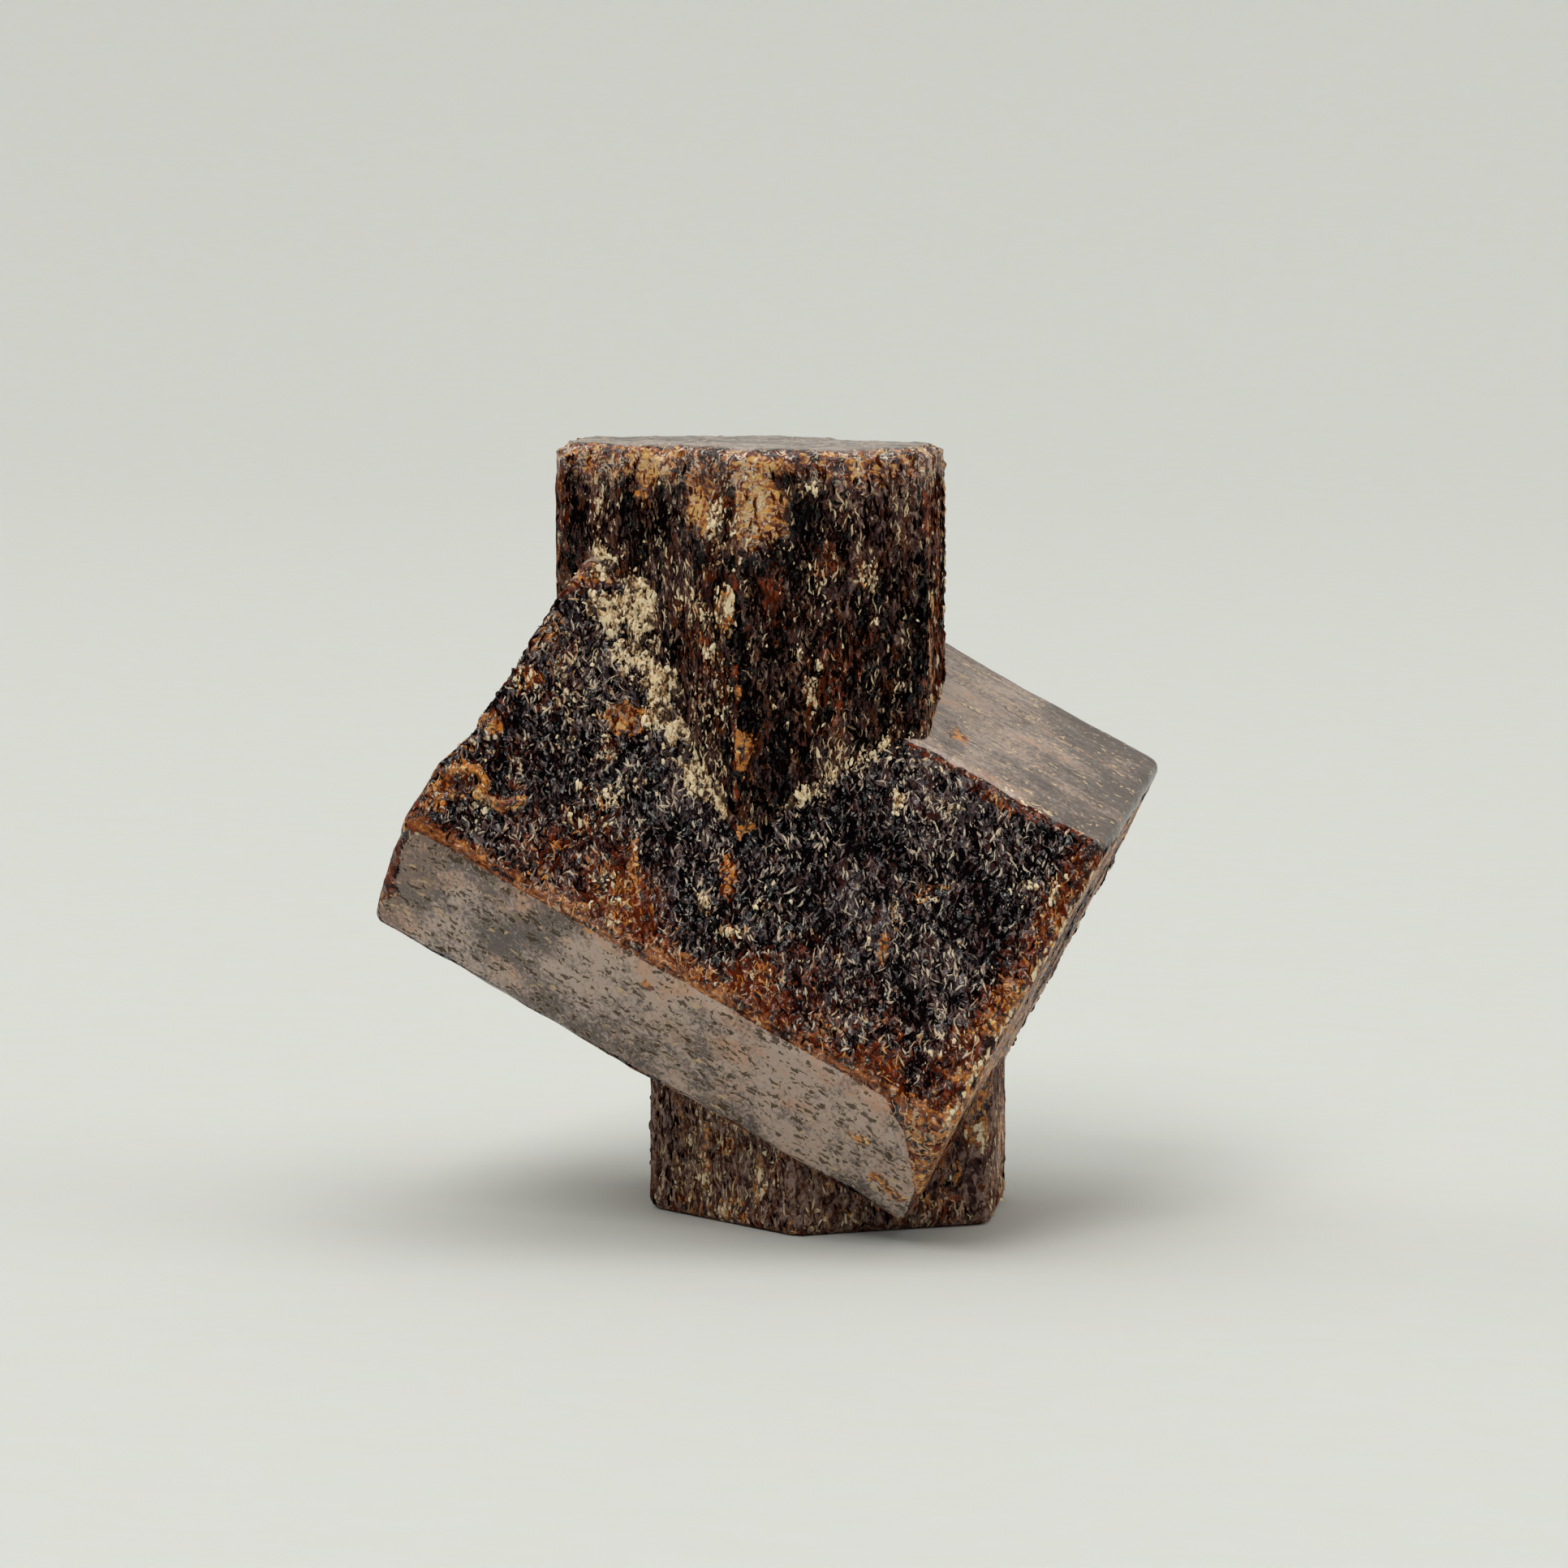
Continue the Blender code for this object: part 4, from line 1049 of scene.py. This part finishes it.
# The darkest crust grains stand partly for painted shade in the holes between the crust's lumps, partly for
# brown grains
CRUST_SHADES, CRUMB_SHADES = (-0.15, 1.18), (-0.05, 1.00)
GRAIN_ASIDE, GRAIN_SUNK, GROUP_LIFT, GROUP_SHADE = 0.06, 0.60, 0.14, 0.70
GRAIN_LUMPS, GRAIN_THICKNESS = (0.6, 1.3), (0.25, 0.6)
GRAIN_WIDTH, GRAIN_HEIGHT = (0.55, 1.1), (1.0, 2.0)
CRUMB_DARK, CRUMB_TAN = colour(0.035, 0.012, 0.004), colour(0.48, 0.25, 0.080)
CRUMB_PALE = colour(0.98, 0.82, 0.55)
CRUST_TOP, SLANT_CRUST_SPAN, ARM_CRUST_SPAN = 20.7, (13.4, 23.0), (13.0, 23.0)
CRUST_PLACES = (-5.8, -4.6, -3.6, -2.6, -1.5, -0.5, 0.0, 1.0, 2.0, 3.0, 4.0, 5.0, 5.6, 7.0)
CRUST_WIDTHS = (0.50, 1.25, 1.20, 0.95, 0.70, 0.45, 0.22, 0.10, 0.22, 0.22, 0.12, 0.13, 0.16, 0.16)


def outside(points, crystal):
    """How far points lie outside a crystal's side faces; less than nought inside."""
    normals = np.stack([crystal.normal(i) for i in range(6)])
    return ((points - crystal.at) @ normals.T - crystal.distances).max(axis=1)


def add_grains(name, surfaces, shares, scales, count, sizes, seed, shades):
    """One mesh of lumpy grains set at random on the surfaces, thicker where their share is larger."""
    rng = random.Random(seed)
    ball = bmesh.new()
    bmesh.ops.create_icosphere(ball, subdivisions=1, radius=1.0)
    ball_points = np.array([tuple(v.co) for v in ball.verts])
    ball_faces = np.array([[v.index for v in f.verts] for f in ball.faces])
    ball.free()
    spots = np.concatenate([s.shown for s in surfaces])
    normals = np.concatenate([s.shown_normals for s in surfaces])
    chances, scale = np.cumsum(np.concatenate(shares)), np.concatenate(scales)
    groups = layered(spots, 0.5, seed + 9)
    points, faces, grain_shades = [], [], []
    for g in range(count):
        k = int(np.searchsorted(chances, rng.random() * chances[-1]))
        radius = rng.uniform(*sizes) * rng.uniform(0.6, 1.0) ** 2 * scale[k]
        angle = rng.uniform(0, math.tau)
        turned = np.array(Matrix.Rotation(angle, 3, Vector([rng.gauss(0, 1) for _ in range(3)])))
        lumps = np.array([[rng.uniform(*GRAIN_LUMPS)] for _ in ball_points])
        flattened = (rng.uniform(*GRAIN_THICKNESS), rng.uniform(*GRAIN_WIDTH), 1.0)
        shape = (ball_points * lumps * flattened) @ turned.T
        shape = shape * (radius, radius, radius * rng.uniform(*GRAIN_HEIGHT))
        aside = np.array([rng.uniform(-GRAIN_ASIDE, GRAIN_ASIDE) for _ in range(3)])
        aside -= normals[k] * (normals[k] @ aside)
        lift = radius * rng.uniform(-GRAIN_SUNK, 0.0) + GROUP_LIFT * groups[k]
        points.append(spots[k] + aside + normals[k] * lift + shape)
        faces.append(ball_faces + g * len(ball_points))
        grain_shades.append(np.full(len(ball_points), rng.uniform(*shades) + GROUP_SHADE * groups[k]))
    mesh = bpy.data.meshes.new(name)
    mesh.from_pydata(within_solid(np.concatenate(points)) * MM, [], np.concatenate(faces).tolist())
    add_values(mesh, "shade", np.concatenate(grain_shades))
    add_piece(name, mesh, crumb_finish)


crumb_finish, tree, shader, place = start_finish("cream_crumb", {})
fine = cloud(stretch(place, 0.07, 0.07, 0.10))
shade = add_node(tree, "ShaderNodeAttribute", attribute_name="shade").outputs["Fac"]
broad = cloud(stretch(place, 0.22, 0.22, 0.34))
shaded = plus(shade, (fine[0], 1.6), (broad[0], 2.0))
base = blend(shaded, 0.10, 0.45, CRUMB_DARK, CRUMB_TAN)
base = blend(shaded, 0.38, 0.75, base, CRUMB_PALE)
bump = add_after("ShaderNodeBump", {"Height": fine[2], "Distance": 0.03 * MM, "Strength": 1.0})
feed(shader, Base_Color=base, Roughness=plus(0.55, (fine[1], 0.5)), Normal=bump.outputs["Normal"])

corner_flat = upper_arm.corners()[FRONT_LEFT]
corner_at = upper_arm.place(corner_flat[None], np.zeros(1))[0]
camera_right = np.array(CAMERA_RIGHT)


def beside(points):
    """Distance to the right of the upright crystal's front corner, as the camera sees it."""
    return (points - corner_at) @ camera_right


def junction_share(surface, other, span):
    """How much crust lies at each point of a surface, by how near the other crystal's faces are."""
    gap = outside(surface.points, other)
    width = np.interp(beside(surface.points), CRUST_PLACES, CRUST_WIDTHS)
    width = width * (1.0 + 0.7 * layered(surface.points, 0.9, 83))
    on = (gap > -0.05) & (surface.points[:, 2] > span[0]) & (surface.points[:, 2] < span[1])
    patchy = held(0.45 + 2.8 * layered(surface.points, 0.70, 84))
    patchy = np.where(beside(surface.points) > 0.0, 0.45 + 0.55 * patchy, patchy)
    low_enough = held((CRUST_TOP - surface.points[:, 2]) / 0.6)
    return np.where(on, fade(np.maximum(gap, 0.0), np.maximum(width, 0.05)), 0.0) * patchy * low_enough


slant_crust = junction_share(slant, upper_arm, SLANT_CRUST_SPAN) * (slant.owners == FRONT)
arm_crust = junction_share(upper, inclined, ARM_CRUST_SPAN) * (upper.owners <= FRONT_RIGHT)
SCALE_PLACES, SCALES = (-1.0, 1.0, 2.5, 3.2), (1.0, 0.75, 0.75, 0.42)
scales = [np.interp(beside(s.points), SCALE_PLACES, SCALES) for s in (slant, upper)]
shares = (slant_crust, arm_crust)
add_grains("junction_crust", (slant, upper), shares, scales, CRUST_GRAINS, CRUST_SIZES, 5, CRUST_SHADES)
shares = []
for surface, face_set in ((slant, (FRONT, BACK)), (upper, range(6)), (lower, range(6))):
    ground = np.isin(surface.owners, list(face_set)) * (0.01 + held(surface.stains["cream"]) ** 2)
    ground = ground * held(surface.edge / 0.4 - 0.5)
    other = upper_arm if surface is slant else inclined
    shares.append(np.where(outside(surface.points, other) > 0.0, ground, 0.0))
scales = [np.ones(len(s.points)) for s in (slant, upper, lower)]
add_grains("cream_crumbs", (slant, upper, lower), shares, scales, CRUMB_GRAINS, CRUMB_SIZES, 6, CRUMB_SHADES)

# Slivers: thin curved blades of the same dark stone that stand out of the rough faces like felt, most of
# them upright. They grew as part of the crystals; each is one tapered blade with its ends in the stone.
FRONT_SLIVERS, BACK_SLIVERS, ARM_SLIVERS = 7000, 3600, 6000
SLIVER_STATIONS = ((-1.0, 0.20), (-0.45, 0.90), (0.15, 1.0), (0.60, 0.70), (1.0, 0.12))
SLIVER_LIFT, SLIVER_SHIFT, SLIVER_ASIDE, SLIVER_BEND, SLIVER_LEAN = 0.024, 0.08, 0.05, 0.28, 0.3
THINNEST, DARK_THICK, PALE_THINNER = 0.016, 0.064, 0.038
GOLDEN_PALE = colour(0.95, 0.62, 0.27)


def add_slivers(name, finish, surfaces, shares, count, lengths, spread, cluster, dullness, seed):
    """One mesh of curved blades set at random on the surfaces, thicker where their share is larger."""
    rng = np.random.default_rng(seed)
    chances = np.cumsum(np.concatenate(shares))
    picked = np.searchsorted(chances, rng.random(count) * chances[-1])
    spot = np.concatenate([s.shown for s in surfaces])[picked]
    normal = np.concatenate([s.shown_normals for s in surfaces])[picked]
    edge = np.concatenate([s.edge for s in surfaces])[picked]
    warmth = np.concatenate([np.maximum(s.stains["rust"], s.stains["gold"] * 1.1) for s in surfaces])[picked]
    creamy = np.concatenate([s.stains["cream"] for s in surfaces])[picked]
    toned = np.concatenate([s.stains["tone"] for s in surfaces])[picked]
    upward = np.array([0.0, 0.0, 1.0]) - normal * normal[:, 2:]
    upward /= np.linalg.norm(upward, axis=1)[:, None]
    turn = rng.normal(0.0, spread, count)[:, None]
    heading = upward * np.cos(turn) + np.cross(normal, upward) * np.sin(turn)
    aside = np.cross(normal, heading)
    middle = spot + heading * rng.uniform(-SLIVER_SHIFT, SLIVER_SHIFT, (count, 1))
    middle = middle + aside * rng.uniform(-SLIVER_ASIDE, SLIVER_ASIDE, (count, 1))
    half = np.minimum(0.5 * rng.uniform(*lengths, count), 0.7 * edge + 0.02)[:, None]
    bow = half * rng.normal(0.0, SLIVER_BEND, count)[:, None]
    sway = half * rng.normal(0.0, SLIVER_BEND, count)[:, None]
    lean = rng.uniform(-SLIVER_LEAN, SLIVER_LEAN, count)[:, None]
    clustered = layered(spot, (0.75, 0.75, 1.2), seed + 5)
    # Tone also lightens the blades, so on the lower arm they carry its painted light from below
    pale = rng.random(count) ** 1.7 + 0.30 * creamy + 0.35 * np.clip(toned - 0.35, -0.3, 0.8)
    pale = held(pale + cluster * clustered - dullness)
    thick = THINNEST + ((DARK_THICK - PALE_THINNER * pale) * rng.random(count) ** 1.4)[:, None]
    rings = []
    for share, width in SLIVER_STATIONS:
        arch = 1.0 - share * share
        drift = bow * (arch - 0.5) + sway * share * arch
        spine = middle + heading * half * share + aside * drift + normal * SLIVER_LIFT * (arch - 0.45)
        for over, up in ((1.0, -0.5), (lean, 0.8), (-1.0, -0.5)):
            rings.append(spine + aside * thick * width * over + normal * thick * width * up)
    points = np.stack(rings, axis=1)
    last = 3 * len(SLIVER_STATIONS) - 3
    walls = []
    for s in range(0, last, 3):
        for k in range(3):
            following = (k + 1) % 3
            walls.append((s + k, s + following, s + 3 + following, s + 3 + k))
    starts = np.arange(count)[:, None, None] * (last + 3)
    faces = (starts + np.array(walls)).reshape(-1, 4).tolist()
    faces += (starts + np.array([(2, 1, 0), (last, last + 1, last + 2)])).reshape(-1, 3).tolist()
    mesh = bpy.data.meshes.new(name)
    mesh.from_pydata(within_solid(points.reshape(-1, 3)) * MM, [], faces)
    warm = held(0.9 * warmth + 0.6 * creamy + rng.uniform(-0.25, 0.15, count))
    add_values(mesh, "shade", np.repeat(pale, last + 3))
    add_values(mesh, "warm", np.repeat(warm, last + 3))
    add_piece(name, mesh, finish)


def sliver_finish(name, dark, middle, pale, rusty, golden, shine):
    """Blades from nearly black to pale, and from brown to orange gold where the stone is stained."""
    settings = {"Specular IOR Level": 0.0, "Coat IOR": STONE_IOR, "Coat Roughness": 0.25}
    blade, tree, shader, place = start_finish(name, settings)
    fine = cloud(stretch(place, 0.09, 0.09, 0.16))
    shade = add_node(tree, "ShaderNodeAttribute", attribute_name="shade").outputs["Fac"]
    warm = add_node(tree, "ShaderNodeAttribute", attribute_name="warm").outputs["Fac"]
    # The pale end stands partly for painted glints on the felt of blades, partly for pale grains
    shaded = plus(shade, (fine[0], 0.8))
    cool = blend(shaded, 0.14, 0.42, dark, middle)
    cool = blend(shaded, 0.49, 0.79, cool, pale)
    worn = blend(shaded, 0.30, 0.75, rusty, golden)
    worn = blend(shaded, 0.80, 1.05, worn, GOLDEN_PALE)
    base = blend(plus(warm, (fine[1], 0.6)), 0.40, 0.70, cool, worn)
    glossy = times(ease(shaded, 0.1, 0.8), shine)
    feed(shader, Base_Color=base, Roughness=plus(0.50, (fine[2], 0.4)), Coat_Weight=glossy)
    return blade


dark_blades = sliver_finish(
    "dark_slivers", colour(0.005, 0.003, 0.004), colour(0.190, 0.120, 0.112), colour(0.90, 0.76, 0.57),
    colour(0.130, 0.020, 0.006), colour(0.72, 0.225, 0.024), 0.7,
)
brown_blades = sliver_finish(
    "brown_slivers", colour(0.004, 0.002, 0.002), colour(0.105, 0.046, 0.038), colour(0.86, 0.68, 0.42),
    colour(0.100, 0.018, 0.005), colour(0.64, 0.22, 0.030), 0.4,
)
inwards = held(slant.edge / 0.4 - 0.25)
clear_of_upper = outside(slant.points, upper_arm) > 0.0
ground = np.where(front, inwards, 0.0) * clear_of_upper
ground = ground * (1.0 - 0.5 * held(slant.stains["cream"]))
ground = ground * np.clip(1.25 - 1.15 * slant.stains["gold"], 0.15, 1.0)
ground = ground * np.clip((lower_edge - 0.30) / 0.35, 0.06, 1.0)
add_slivers(
    "front_slivers", dark_blades, (slant,), (ground,), FRONT_SLIVERS,
    lengths=(0.18, 0.50), spread=0.55, cluster=0.65, dullness=0.15, seed=21,
)
ground = np.where(slant.owners == BACK, inwards, 0.0) * clear_of_upper
ground = ground * (outside(slant.points, lower_arm) > 0.0)
add_slivers(
    "back_slivers", dark_blades, (slant,), (ground,), BACK_SLIVERS,
    lengths=(0.20, 0.50), spread=0.50, cluster=0.45, dullness=0.05, seed=23,
)
shares = []
for arm in arms:
    ground = np.where(arm.owners < START_END, held(arm.edge / 0.4 - 0.25), 0.0)
    ground = ground * (1.0 - 0.45 * held(arm.stains["cream"])) * (1.0 - 0.85 * arm.stains["wet"])
    ground = ground * np.clip(1.25 - 1.0 * arm.stains["gold"], 0.2, 1.0)
    thinned = (1.0 if arm is upper else 0.55) * np.where(np.isin(arm.owners, (RIGHT, LEFT)), 0.4, 1.0)
    shares.append(thinned * ground * (outside(arm.points, inclined) > 0.0))
add_slivers(
    "upright_slivers", brown_blades, arms, shares, ARM_SLIVERS,
    lengths=(0.16, 0.52), spread=0.26, cluster=1.15, dullness=0.26, seed=22,
)
